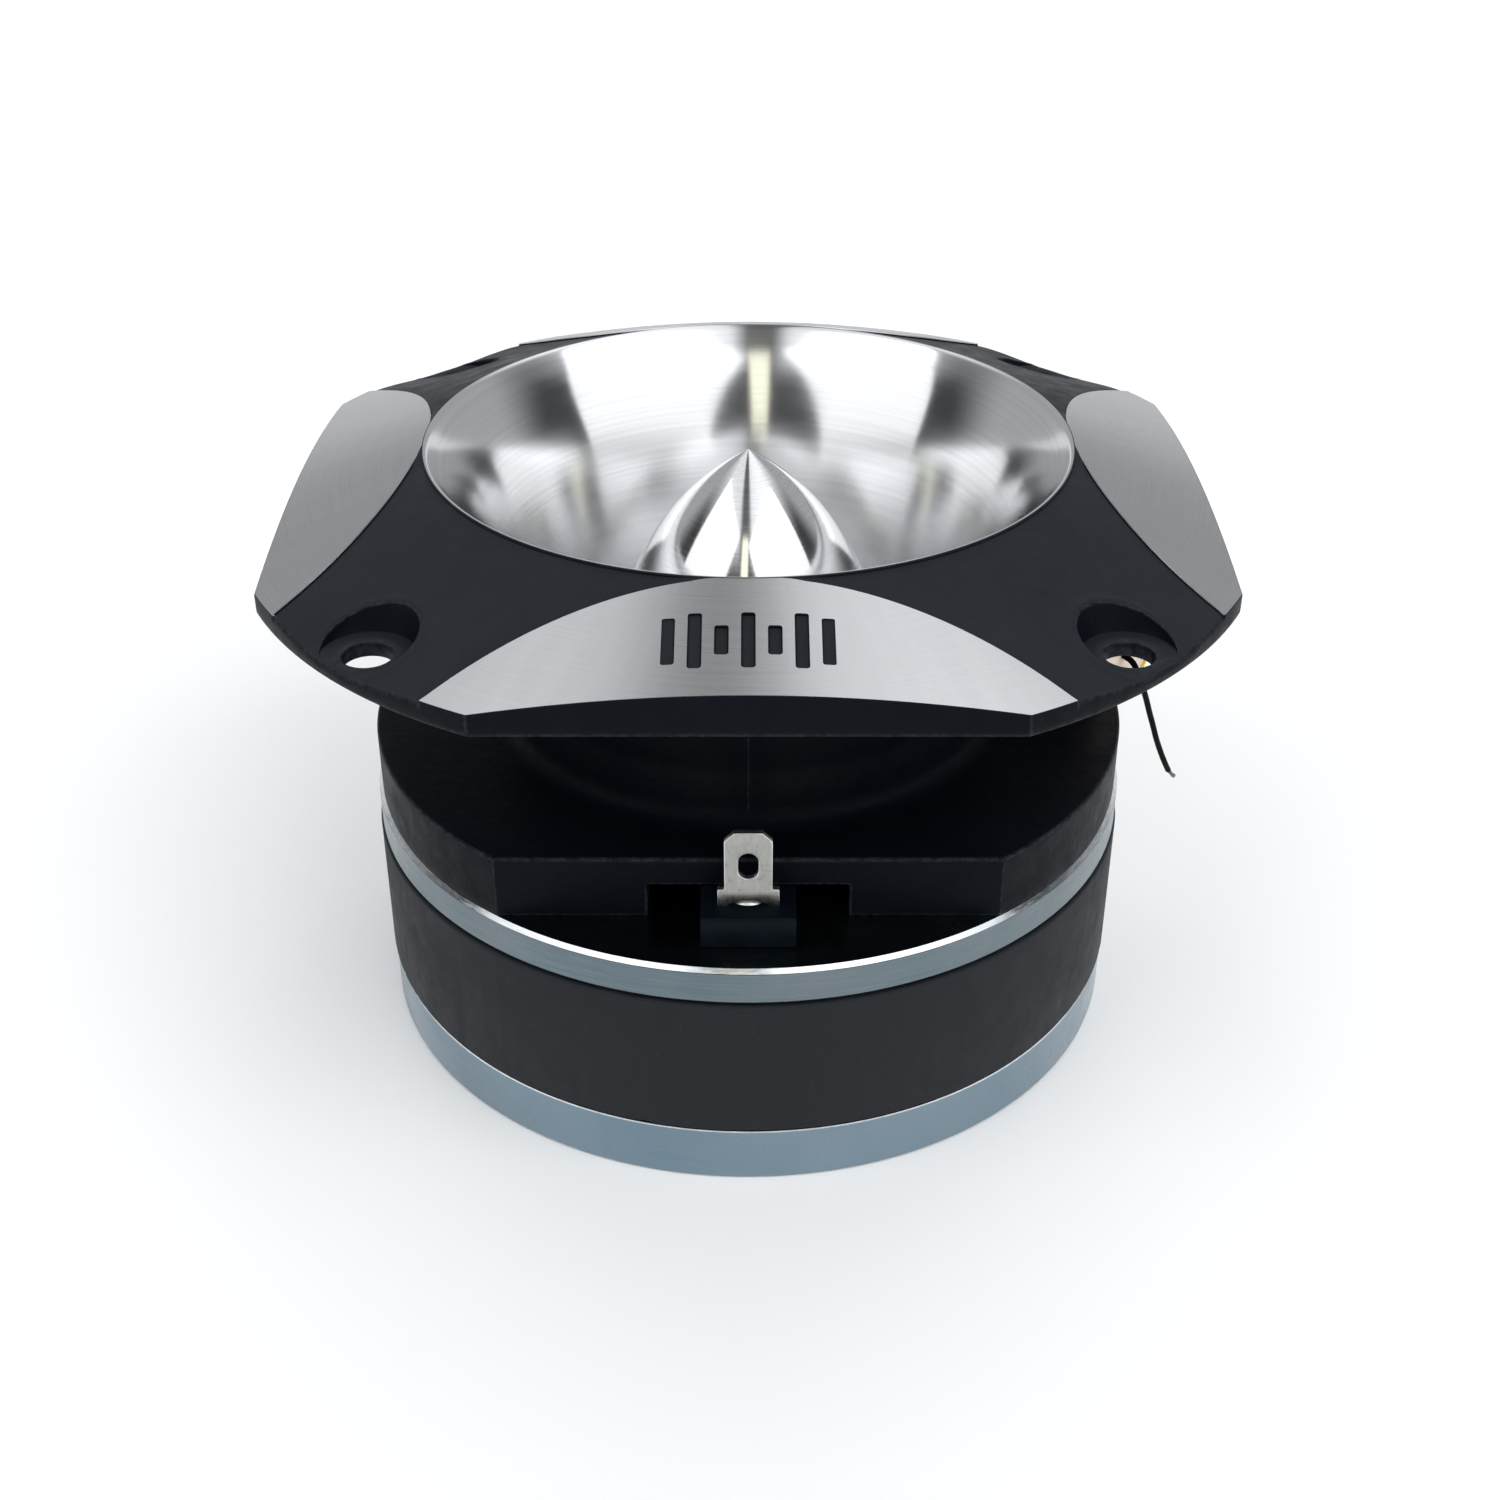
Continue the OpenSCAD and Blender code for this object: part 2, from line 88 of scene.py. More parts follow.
HOLES = next(m for m in frame["record"]["mounts"] if m["name"] == "mounting_holes")
DECK = top_of("top_plate")
MOUTH_Z = top_of("horn_casting")
TIP_Z = top_of("bullet")
THROAT_Z = bottom_of("bullet")
CLAMP_Z = top_of("inner_clamp_ring")
FLAT = radius_of("horn_casting")
SEAT_Z = HOLES["pos_m"][2] / MM
PCD = HOLES["dims"]["pcd_mm"]
HOLE_R = HOLES["dims"]["hole_r_mm"]
TONGUE_TOP = top_of("diaphragm_frame")

# The horn's mouth, flange and turned faces
MOUTH_R = 34
LIP = 0.3
LIP_ROUND = 0.38
FLANGE_R = 54
FACE_SLOPE = 0.33
ARC_R = 43
ARC_Y = 77.1

# The bullet and the bowl round it
THROAT_R = 21.6
BULLET_R = 17.5
BULLET_RISE = 11.5
BULLET_FOOT_R = 16.5
BOLT_HOLE_R = 2.5
BOLT_HOLE_TOP = 50

# The back of the flange, the bell, the neck and the base
SEAT_R = 44.5
CORE_UP = 1.5
CORE_SLOPE = 0.15
BELL_WALL = 3.5
NECK_R = 27
NECK_FILLET = 2
BASE_R = 41.9
BASE_TOP = 34.4
BASE_FLAT = 33.15
POCKET_R = 26.2
NOTCH_W = 20.6
NOTCH_H = 4
NOTCH_Y = 24

# The screw recesses: radius and height of the floor, and slope of the wall
RECESS_R = 4.5
RECESS_UP = 1.5
RECESS_DRAFT = 0.22

# The emblem: bars across the front face
BAR_COUNT = 7
BAR_W = 1.3
BAR_PITCH = 2.4
BAR_LONG = 6.4
BAR_SHORT = 2.4
BAR_DEPTH = 0.35
EMBLEM_R = 41.6

# The plates, the magnet and the bullet's bolt
PLATE_CHAMFER = 0.45
PLATE_BORE_R = 19.85
PLATE_SCREW_R = 34
MAGNET_BORE_R = 23
BOLT_R = 2.45
BOLT_HEAD_R = 4.7
BOLT_POCKET_R = 6.2
WASHER_LOW = 3.5
WASHER_HIGH = 4.5
COIL_MIDDLE_R = 18.875

# The terminals: half widths of blade and foot, thickness, places along Y
BLADE_HALF = 2.4
FOOT_HALF = 3.1
BLADE_T = 0.8
BLADE_Y = 35.9
EYELET_Y = 33.9
FOOT_REAR = 30.95

# The capacitor: the middle of its free end, its direction and size
CAP_END = (42.6, 0.5, 39.05)
CAP_DIR = (0.6, -0.8, 0)
CAP_R = 4.6
CAP_L = 26
LEAD_R = 0.35

# The routes of its two leads, as in the CAD model
FREE_ROUTE = [
    (42.5, 0.65, 39.05), (43, -0.1, 39.1), (43.4, -0.7, 38.9), (43.7, -1.1, 38.4),
    (43.9, -1.2, 37.7), (44.3, -0.8, 36.8), (44.9, 0.1, 35.5), (45.5, 1.2, 33.9),
    (46.3, 2.7, 31.7), (47.1, 4.3, 29.3), (48.1, 6, 26.6), (49, 7.8, 23.9),
    (50.1, 9.6, 21.1), (51.2, 11.4, 18.4), (52.3, 13.2, 16),
]
FREE_TIP = [(52.3, 13.2, 16), (53, 14.2, 14.8), (53.5, 14.8, 14.1)]
SOLDER_ROUTE = [
    (27.1, 21.1, 39.05), (25.5, 23.3, 39.1), (23.5, 26, 39), (20.5, 29.6, 38.9),
    (16.5, 33.4, 38.6), (12, 36.4, 38.1), (8, 38.2, 37.5), (4.5, 39, 36.8),
    (2, 38.9, 36.2), (0.6, 38.2, 35.8), (0.1, 37.2, 35.6), (0, 36, 35.5), (0, 34.7, 35.4),
]


def bullet_at(z):
    """Radius of the bullet: its point runs out into steep sides."""
    return BULLET_R * (1 - exp(-(TIP_Z - z) / BULLET_RISE))


THROAT_AREA = THROAT_R**2 - bullet_at(THROAT_Z) ** 2
FLARE = log(MOUTH_R**2 / THROAT_AREA) / (MOUTH_Z - THROAT_Z)


def bowl_at(z):
    """Radius of the bowl: the open area round the bullet grows exponentially."""
    inner = bullet_at(z) ** 2 if z < TIP_Z else 0
    return sqrt(THROAT_AREA * exp(FLARE * (z - THROAT_Z)) + inner)


def bell_at(z):
    """Outer radius of the bell and the neck."""
    return max(NECK_R, bowl_at(z) + BELL_WALL)


def face_at(r):
    """Height of the turned front at radius r."""
    return MOUTH_Z - FACE_SLOPE * (r - MOUTH_R)


def smooth(t):
    """An S curve from 0 to 1, flat past both."""
    t = min(1, max(0, t))
    return t * t * (3 - 2 * t)


# ---- camera, floor and light


def add(name, data):
    """A new object in the scene."""
    obj = bpy.data.objects.new(name, data)
    bpy.context.scene.collection.objects.link(obj)
    return obj


def make_camera():
    """The reference view: in front of the part and above it."""
    data = bpy.data.cameras.new("camera")
    data.sensor_width = 36
    data.lens = 48.06
    data.shift_x = 0.0011
    data.clip_start = 0.01
    data.clip_end = 20
    camera = add("camera", data)
    camera.location = (0, -0.1986, 0.1480)
    camera.rotation_euler = (radians(58.635), 0, 0)
    bpy.context.scene.camera = camera


def make_light(name, location, target, size, power, colour=(1, 1, 1)):
    """A rectangular lamp, size wide and high, that faces target."""
    data = bpy.data.lights.new(name, "AREA")
    data.shape = "RECTANGLE"
    data.size, data.size_y = size
    data.energy = power
    data.color = colour
    light = add(name, data)
    light.location = location
    light.rotation_mode = "QUATERNION"
    light.rotation_quaternion = (Vector(target) - light.location).to_track_quat("-Z", "Y")
    return light


# ---- materials


class Nodes:
    """Makes the nodes of a tree; values that are sockets get linked."""

    def __init__(self, tree):
        self.tree = tree

    def put(self, socket, value):
        if isinstance(value, bpy.types.NodeSocket):
            self.tree.links.new(value, socket)
        elif socket.type == "RGBA":
            socket.default_value = (*value, 1)
        else:
            socket.default_value = value

    def node(self, kind, inputs=(), **settings):
        made = self.tree.nodes.new("ShaderNode" + kind)
        for key, value in settings.items():
            setattr(made, key, value)
        for key, value in dict(inputs).items():
            self.put(made.inputs[key], value)
        return made

    def math(self, operation, a, b=0.0):
        return self.node("Math", {0: a, 1: b}, operation=operation).outputs[0]

    def times(self, a, b):
        return self.math("MULTIPLY", a, b)

    def span(self, value, low, high, to_low=0.0, to_high=1.0, **settings):
        """value from low..high, mapped to to_low..to_high and held there."""
        return self.node("MapRange", {
            "Value": value, "From Min": low, "From Max": high, "To Min": to_low,
            "To Max": to_high,
        }, **settings).outputs["Result"]

    def part(self, vector, axis):
        """The X, Y or Z of a vector, as axis is 0, 1 or 2."""
        return self.node("SeparateXYZ", {0: vector}).outputs[axis]


class Surface(Nodes):
    """A material with one Principled BSDF."""

    def __init__(self, name, colour, roughness, metallic=0.0, **fixed):
        self.material = bpy.data.materials.new(name)
        self.material.use_nodes = True
        super().__init__(self.material.node_tree)
        self.tree.nodes.clear()
        out = self.node("OutputMaterial")
        self.shader = self.node("BsdfPrincipled")
        self.put(out.inputs["Surface"], self.shader.outputs[0])
        self.material.diffuse_color = (*colour, 1)
        self.set("Metallic", metallic)
        self.set("Roughness", roughness)
        for key, value in fixed.items():
            self.set(key.replace("_", " "), value)
        self.position = self.node("TexCoord").outputs["Object"]

    def set(self, name, value):
        self.put(self.shader.inputs[name], value)

    def done(self, colour, roughness, normal):
        """The material, with these three linked to its shader."""
        self.set("Base Color", colour)
        self.set("Roughness", roughness)
        self.set("Normal", normal)
        return self.material

    def noise(self, scale, detail, rough, vector=None):
        """Noise from 0 to 1 with features about 1/scale metres across."""
        return self.node("TexNoise", {
            "Vector": vector or self.position, "Scale": scale, "Detail": detail,
            "Roughness": rough,
        }).outputs["Fac"]

    def mix(self, share, a, b):
        return self.node("Mix", {0: share, 6: a, 7: b}, data_type="RGBA").outputs[2]

    def bump(self, height, distance, strength=1.0, **more):
        return self.node("Bump", {
            "Height": height, "Distance": distance, "Strength": strength, **more}).outputs[0]

    def facing(self, axis):
        """How far the surface faces along an axis, -1 to 1."""
        return self.part(self.node("NewGeometry").outputs["Normal"], axis)

    def height(self):
        return self.part(self.position, 2)

    def polar(self, around, outward, upward):
        """Coordinates that follow the horn's axis, for marks of a lathe."""
        angle = self.math("ARCTAN2", self.part(self.position, 1), self.part(self.position, 0))
        flat = self.node("VectorMath", {0: self.position, 1: (1, 1, 0)},
                         operation="MULTIPLY").outputs[0]
        radius = self.node("VectorMath", {0: flat}, operation="LENGTH").outputs["Value"]
        return self.node("CombineXYZ", {
            0: self.times(angle, around), 1: self.times(radius, outward),
            2: self.times(self.height(), upward),
        }).outputs[0]

    def turned(self, anisotropic):
        """Stretches highlights across the marks of a lathe."""
        self.set("Anisotropic", anisotropic)
        self.set("Anisotropic Rotation", 0.25)
        self.set("Tangent", self.node("Tangent", direction_type="RADIAL", axis="Z").outputs[0])


def painted_casting():
    """Satin black paint over a fine cast skin, chipped along worn edges; paler on top: a dusting and
    painted light.
    """
    s = Surface("painted_casting", (0.003, 0.0038, 0.006), 0.48, Specular_IOR_Level=0.07)
    cloud = s.noise(120, 4, 0.6)
    grain = s.noise(2600, 3, 0.6)
    orange_peel = s.noise(900, 2, 0.5)
    wear = s.node("Attribute", attribute_name="wear").outputs["Fac"]
    chips = s.times(s.span(wear, 0.45, 1), s.span(s.noise(1500, 3, 0.7), 0.4, 0.6, 0.15, 1))
    # Painted top light, partly a dusting: upward faces above the seat are made paler where light falls,
    # and the shaded base below stays dark.
    upward = s.span(s.facing(2), 0.7, 0.96)
    front = s.span(s.height(), (SEAT_Z - 6) * MM, SEAT_Z * MM)
    pale_mask = s.times(s.times(upward, front), s.span(cloud, 0.2, 0.8, 0.85, 1.1))
    paint = s.mix(cloud, (0.001, 0.0016, 0.0032), (0.0022, 0.003, 0.0052))
    dusty_and_top_lit = s.mix(pale_mask, paint, (0.0108, 0.0128, 0.0154))
    fine = s.bump(grain, 0.00004, 0.55)
    return s.done(s.mix(chips, dusty_and_top_lit, (0.019, 0.021, 0.026)),
                  s.span(s.noise(400, 3, 0.6), 0.3, 0.7, 0.4, 0.55),
                  s.bump(orange_peel, 0.00012, 0.35, Normal=fine))


def polished_bowl():
    """Mirror-polished aluminium with the faint rings of the lathe left in it."""
    s = Surface("polished_bowl", (0.86, 0.865, 0.875), 0.15, 1.0)
    s.turned(0.85)
    rings = s.noise(1, 4, 0.6, s.polar(0.4, 900, 2600))
    tint = s.mix(s.span(rings, 0.3, 0.7), (0.8, 0.805, 0.815), (0.9, 0.9, 0.905))
    patches = s.span(s.noise(1, 3, 0.6, s.polar(2, 500, 500)), 0.3, 0.7, 0, 0.03)
    low, high = THROAT_Z * MM, MOUTH_Z * MM
    # Painted shade: the metal is given a darker colour towards the throat, deep in the bowl.
    return s.done(s.mix(s.span(s.height(), low, high - 8 * MM), (0.5, 0.51, 0.52), tint),
                  s.math("ADD", s.span(s.height(), low, high, 0.24, 0.11), patches),
                  s.bump(rings, 0.000004, 0.25))


def turned_face():
    """Bare aluminium, left with the fine arcs of the turning tool."""
    s = Surface("turned_face", (0.62, 0.63, 0.64), 0.3, 1.0)
    s.turned(0.75)
    arcs = s.noise(1, 4, 0.7, s.polar(2.2, 14000, 0))
    # Painted sheen: paler radial bands that stand in for the lathe's highlights.
    sheen_streaks = s.noise(1, 3, 0.6, s.polar(26, 60, 0))
    tint = s.mix(s.span(arcs, 0.3, 0.7), (0.58, 0.585, 0.59), (0.68, 0.685, 0.69))
    return s.done(s.mix(s.span(sheen_streaks, 0.4, 0.7, 0, 0.25), tint, (0.74, 0.74, 0.74)),
                  s.span(arcs, 0.3, 0.7, 0.26, 0.34), s.bump(arcs, 0.000004, 0.2))


def turned_bullet():
    """Bright-turned aluminium, whose highlights run from the tip down the sides."""
    s = Surface("turned_bullet", (0.86, 0.865, 0.87), 0.14, 1.0)
    s.turned(0.6)
    rings = s.noise(1, 4, 0.7, s.polar(1.5, 0, 9000))
    return s.done(s.mix(s.span(rings, 0.35, 0.65), (0.8, 0.805, 0.81), (0.93, 0.93, 0.93)),
                  s.span(rings, 0.3, 0.7, 0.08, 0.14), s.bump(rings, 0.000003, 0.2))


def blue_zinc_steel():
    """Turned steel under blue zinc plating, with a drifting stain; the back plate is painted paler, as
    painted light.
    """
    s = Surface("blue_zinc_steel", (0.2, 0.24, 0.26), 0.3, 1.0)
    drift = s.span(s.noise(28, 4, 0.6), 0.35, 0.65)
    marks = s.noise(1, 4, 0.7, s.polar(6, 5000, 5000))
    # Painted light: the same plating gets a paler tint on the back plate than on the top plate.
    front = s.mix(drift, (0.122, 0.172, 0.2), (0.175, 0.213, 0.232))
    back = s.mix(drift, (0.2, 0.285, 0.35), (0.265, 0.345, 0.4))
    tint = s.mix(s.span(s.height(), 8 * MM, 14 * MM), back, front)
    return s.done(s.mix(s.span(marks, 0.4, 0.7, 0, 0.25), tint, (0.3, 0.35, 0.38)),
                  s.span(s.noise(90, 4, 0.65), 0.3, 0.7, 0.17, 0.33), s.bump(marks, 0.00001, 0.3))


def bright_zinc():
    """The plates' turned edges, paler than the plating beside them: a painted highlight."""
    s = Surface("bright_zinc", (0.7, 0.73, 0.75), 0.2, 1.0)
    worn = s.noise(1, 4, 0.7, s.polar(30, 3000, 3000))
    # Painted highlight: a pale colour on the turned edges, varied along them by noise.
    return s.done(s.mix(s.span(worn, 0.35, 0.65), (0.58, 0.62, 0.65), (0.82, 0.84, 0.85)),
                  s.span(worn, 0.3, 0.7, 0.14, 0.26), s.bump(worn, 0.000006, 0.3))


def ferrite():
    """Sintered ferrite: matt, dark grey, finely mottled and with a little dusting."""
    s = Surface("ferrite", (0.012, 0.0125, 0.0145), 0.62, Specular_IOR_Level=0.2)
    mottle = s.noise(260, 5, 0.7)
    pale_mask = s.span(s.noise(3800, 2, 0.5), 0.68, 0.76, 0, 0.5)
    base = s.mix(s.span(mottle, 0.3, 0.7), (0.0064, 0.0076, 0.0098), (0.0104, 0.012, 0.0146))
    return s.done(s.mix(pale_mask, base, (0.035, 0.036, 0.039)), s.span(mottle, 0.3, 0.7, 0.5, 0.7),
                  s.bump(s.noise(1900, 4, 0.65), 0.00005, 0.45))


def tinned_brass():
    """Tin plating, brushed by the press, marked by handling, with a painted highlight on its edges."""
    s = Surface("tinned_brass", (0.36, 0.36, 0.335), 0.34, 1.0)
    spots = s.span(s.noise(1500, 4, 0.7), 0.56, 0.68)
    along = s.node("Mapping", {"Vector": s.position, "Scale": (5000, 900, 900)}).outputs[0]
    strokes = s.noise(1, 4, 0.7, along)
    tint = s.mix(s.span(strokes, 0.3, 0.7), (0.33, 0.33, 0.31), (0.44, 0.44, 0.415))
    # Painted highlight: surfaces that don't face along Y, such as edges and rims, get a pale colour.
    across = s.math("ABSOLUTE", s.facing(1))
    marked = s.mix(s.times(spots, 0.55), tint, (0.17, 0.16, 0.14))
    return s.done(s.mix(s.span(across, 0.8, 0.97), (0.86, 0.86, 0.84), marked),
                  s.span(strokes, 0.3, 0.7, 0.26, 0.42), s.bump(strokes, 0.00001, 0.4))


def plain(name, colour, other, roughness, metallic=0.0, gloss=0.5):
    """A surface whose colour drifts between two tints, with matching roughness and grain."""
    s = Surface(name, colour, roughness, metallic, Specular_IOR_Level=gloss)
    drift = s.span(s.noise(240, 4, 0.6), 0.3, 0.7)
    return s.done(s.mix(drift, colour, other), s.span(drift, 0, 1, roughness * 0.8, roughness * 1.2),
                  s.bump(s.noise(1800, 3, 0.6), 0.00003, 0.4))


MATERIALS = {}


def make_materials():
    """Fills MATERIALS; a plain row is two tints, roughness, and then metallic and gloss."""
    for make in (painted_casting, polished_bowl, turned_face, turned_bullet, blue_zinc_steel,
                 bright_zinc, ferrite, tinned_brass):
        MATERIALS[make.__name__] = make()
    for name, *values in (
        ("adhesive", (0.002, 0.002, 0.0026), (0.004, 0.004, 0.005), 0.35, 0.0, 0.18),
        ("black_plastic", (0.0008, 0.002, 0.0036), (0.0017, 0.0035, 0.0058), 0.42, 0.0, 0.09),
        ("titanium_foil", (0.5, 0.5, 0.52), (0.62, 0.62, 0.64), 0.24, 1.0),
        ("polyimide", (0.42, 0.16, 0.02), (0.52, 0.22, 0.03), 0.3),
        ("copper", (0.62, 0.24, 0.11), (0.75, 0.33, 0.17), 0.3, 1.0),
        ("zinc_screw", (0.6, 0.62, 0.64), (0.72, 0.73, 0.74), 0.3, 1.0),
        ("yellow_film", (0.72, 0.48, 0.02), (0.8, 0.56, 0.035), 0.26),
        ("end_resin", (0.62, 0.5, 0.42), (0.72, 0.62, 0.55), 0.45),
        ("solder", (0.55, 0.56, 0.57), (0.68, 0.69, 0.7), 0.28, 1.0),
        ("lead_sleeve", (0.0008, 0.0008, 0.001), (0.0016, 0.0016, 0.002), 0.5, 0.0, 0.02),
        ("bare_wire", (0.09, 0.085, 0.075), (0.3, 0.29, 0.27), 0.35, 1.0),
    ):
        MATERIALS[name] = plain(name, *values)


# ---- mesh helpers


@contextmanager
def edited(mesh):
    """The mesh as a bmesh, which is written back at the end."""
    work = bmesh.new()
    work.from_mesh(mesh)
    yield work
    work.to_mesh(mesh)
    work.free()


def shade(mesh, sharp=32):
    """Smooth normals, except over sharp edges and between two materials."""
    with edited(mesh) as work:
        for face in work.faces:
            face.smooth = True
        for edge in work.edges:
            sides = edge.link_faces
            edge.smooth = (len(sides) == 2 and sides[0].material_index == sides[1].material_index
                           and edge.calc_face_angle() < radians(sharp))


def finish_mesh(name, mesh, materials, sharp=32):
    """Cleans a mesh, shades it and makes its object."""
    with edited(mesh) as work:
        bmesh.ops.remove_doubles(work, verts=work.verts, dist=1e-7)
        bmesh.ops.recalc_face_normals(work, faces=work.faces)
    for m in materials:
        mesh.materials.append(MATERIALS[m])
    shade(mesh, sharp)
    return add(name, mesh)


def revolve(name, columns, angles, materials, bands=0, sharp=32, closed=True):
    """Turns columns of (r, z) points, one for each angle from -Y, into a closed surface.

    bands gives the material index of the strip after each point of a column.
    """
    columns = np.array(columns, float)
    count, steps = columns.shape[:2]
    bands = np.broadcast_to(bands, (count, steps)).tolist()
    a = np.array(angles, float)[:, None]
    r, z = columns[:, :, 0], columns[:, :, 1]
    points = np.stack([r * np.sin(a), -r * np.cos(a), z], axis=2).reshape(-1, 3) * MM
    faces, slots = [], []
    for i in range(count):
        j = (i + 1) % count
        for k in range(steps if closed else steps - 1):
            m = (k + 1) % steps
            faces.append((i * steps + k, j * steps + k, j * steps + m, i * steps + m))
            slots.append(bands[i][k])
    mesh = bpy.data.meshes.new(name)
    mesh.from_pydata(points.tolist(), [], faces)
    mesh.polygons.foreach_set("material_index", slots)
    return finish_mesh(name, mesh, materials, sharp)


def lathe(name, profile, materials, bands=0, segments=192, sharp=32, wobble=None, closed=True):
    """A turned piece: one (r, z) profile, closed, or open where both its ends are on the axis.

    wobble(angle, r, z) may move its points.
    """
    angles = np.linspace(0, tau, segments, endpoint=False)
    columns = [[wobble(a, r, z) if wobble else (r, z) for r, z in profile] for a in angles]
    return revolve(name, columns, angles, materials, bands, sharp, closed)


def arc(centre, radius, start, end, steps):
    """Points of an arc in an (r, z) profile, angles in degrees."""
    return [
        (centre[0] + radius * cos(radians(t)), centre[1] + radius * sin(radians(t)))
        for t in np.linspace(start, end, steps)
    ]


def ring_profile(outer, inner, low, high, edge, steps):
    """A ring's section with rounded outer edges."""
    return [
        (inner, low), *arc((outer - edge, low + edge), edge, -90, 0, steps),
        *arc((outer - edge, high - edge), edge, 0, 90, steps), (inner, high),
    ]


def baked(obj):
    """A new mesh from a curve, or from a mesh and its modifiers."""
    graph = bpy.context.evaluated_depsgraph_get()
    return bpy.data.meshes.new_from_object(obj.evaluated_get(graph))


def cut(obj, cutter):
    """Takes cutter away from obj, and removes it. New faces keep the cutter's material."""
    made = obj.modifiers.new("cut", "BOOLEAN")
    made.object = cutter
    made.operation = "DIFFERENCE"
    made.solver = "EXACT"
    made.material_mode = "TRANSFER"
    mesh = baked(obj)
    obj.modifiers.clear()
    obj.data = mesh
    bpy.data.objects.remove(cutter)


def join_meshes(name, parts):
    """One object from several, in the given order."""
    mesh = bpy.data.meshes.new(name)
    with edited(mesh) as work:
        for p in parts:
            p.data.transform(p.matrix_world)
            work.from_mesh(p.data)
    for m in parts[0].data.materials:
        mesh.materials.append(m)
    for p in parts:
        bpy.data.objects.remove(p)
    return add(name, mesh)


def block(name, low, high, material, edge, steps=2):
    """A box between any two opposite corners in millimetres, with rounded edges."""
    low, high = np.minimum(low, high), np.maximum(low, high)
    mesh = bpy.data.meshes.new(name)
    with edited(mesh) as work:
        bmesh.ops.create_cube(work, size=1)
        for v in work.verts:
            v.co = Vector((low + (np.array(v.co) + 0.5) * (high - low)) * MM)
        bmesh.ops.bevel(work, geom=work.edges[:], offset=edge * MM, segments=steps, profile=0.5,
                        affect="EDGES", clamp_overlap=True)
    return finish_mesh(name, mesh, [material], 40)


def curve(name, kind, loops, **settings):
    """A curve with a line for each list of points, in millimetres."""
    data = bpy.data.curves.new(name, "CURVE")
    for key, value in settings.items():
        setattr(data, key, value)
    for loop in loops:
        line = data.splines.new(kind)
        line.points.add(len(loop) - 1)
        for p, co in zip(line.points, loop):
            p.co = (*(c * MM for c in co), 1)
    return add(name, data), data.splines


def tube(name, points, radius, material, bevel_steps):
    """A round wire along points, as a curve."""
    wire, lines = curve(name, "NURBS", [points], dimensions="3D", bevel_depth=radius * MM,
                        bevel_resolution=bevel_steps, use_fill_caps=True, resolution_u=8)
    lines[0].order_u = 4
    lines[0].use_endpoint_u = True
    wire.data.materials.append(MATERIALS[material])
    return wire


def put_out(obj, radius, a):
    """Moves obj's mesh out from the axis, in direction a from -Y."""
    place = (radius * MM * sin(a), -radius * MM * cos(a), 0)
    obj.data.transform(Matrix.Translation(place))
    return obj


def show(obj, slot, *nodes):
    """obj rides on the root body and stands for nodes, which are hidden. slot is not used."""
    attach(obj, "root")
    if nodes:
        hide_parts(*nodes)


# ---- horn casting

LIP_R = MOUTH_R + LIP
ARC_ROOT = acos((LIP_R**2 + ARC_Y**2 - ARC_R**2) / (2 * LIP_R * ARC_Y))
ARC_TIP = acos((FLANGE_R**2 + ARC_Y**2 - ARC_R**2) / (2 * FLANGE_R * ARC_Y))
FLANGE_CORNER = acos(FLAT / FLANGE_R)
BASE_CORNER = acos(BASE_FLAT / BASE_R)
QUARTER = pi / 2

# The horn's materials, by their place in its list
PAINT, BARE, TURNED = range(3)


def from_face(a):
    """Angle between direction a and the middle of the nearest turned face."""
    return abs((a + QUARTER / 2) % QUARTER - QUARTER / 2)


def rough(a, r, z, size, seed=0):
    """Smooth noise from about -1 to 1 on the casting, with features of a given size."""
    at = Vector((r * sin(a), -r * cos(a), z)) / size
    return noise.noise(at + Vector((seed * 31.7, 0, 0)))


def flange_rim(a):
    """Radius of the flange in direction a."""
    return min(FLANGE_R, FLAT / cos(from_face(a)))


def face_start(a):
    """Radius where the turned face begins in direction a; past its tips, the rim."""
    phi = from_face(a)
    if phi >= ARC_TIP:
        return flange_rim(a)
    reach = ARC_Y * cos(phi) - sqrt(ARC_R**2 - (ARC_Y * sin(phi)) ** 2)
    return min(max(reach, LIP_R), flange_rim(a))


def paint_at(a, r):
    """Height of the paint between the turned faces: it sinks towards each corner."""
    phi = from_face(a)
    outside = hypot(r * sin(phi), ARC_Y - r * cos(phi)) - ARC_R
    sink = 0.28 + 0.78 * smooth(outside / 10) * (r - MOUTH_R) / (FLANGE_R - MOUTH_R)
    return face_at(r) - sink * smooth((r - MOUTH_R + 1.2) / 2)


def recess_wall(z):
    """Radius of a screw recess, which widens above its floor."""
    return RECESS_R + RECESS_DRAFT * max(0, z - SEAT_Z - RECESS_UP)


def round_recess(a, r):
    """Distance in plan from the wall of the nearest screw recess, and its direction."""
    turn = (a // QUARTER + 0.5) * QUARTER
    x = r * cos(a - turn) - PCD / 2
    y = r * sin(a - turn)
    z = paint_at(a, r)
    return hypot(x, y) - recess_wall(z), atan2(y, x)


def cast_skin(a, r):
    """Painted surface with the uneven cast lip round each screw recess."""
    z = paint_at(a, r)
    gap, turn = round_recess(a, r)
    if -1.5 < gap < 2:
        height = 0.09 + 0.05 * rough(a, r, z, 0.9, 1) + 0.03 * rough(a, r, z, 0.35, 2)
        z += height * exp(-(((gap - 0.45) / 0.32) ** 2)) * smooth(0.9 - 0.5 * cos(turn))
    return z + 0.012 * rough(a, r, z, 1.7, 3)


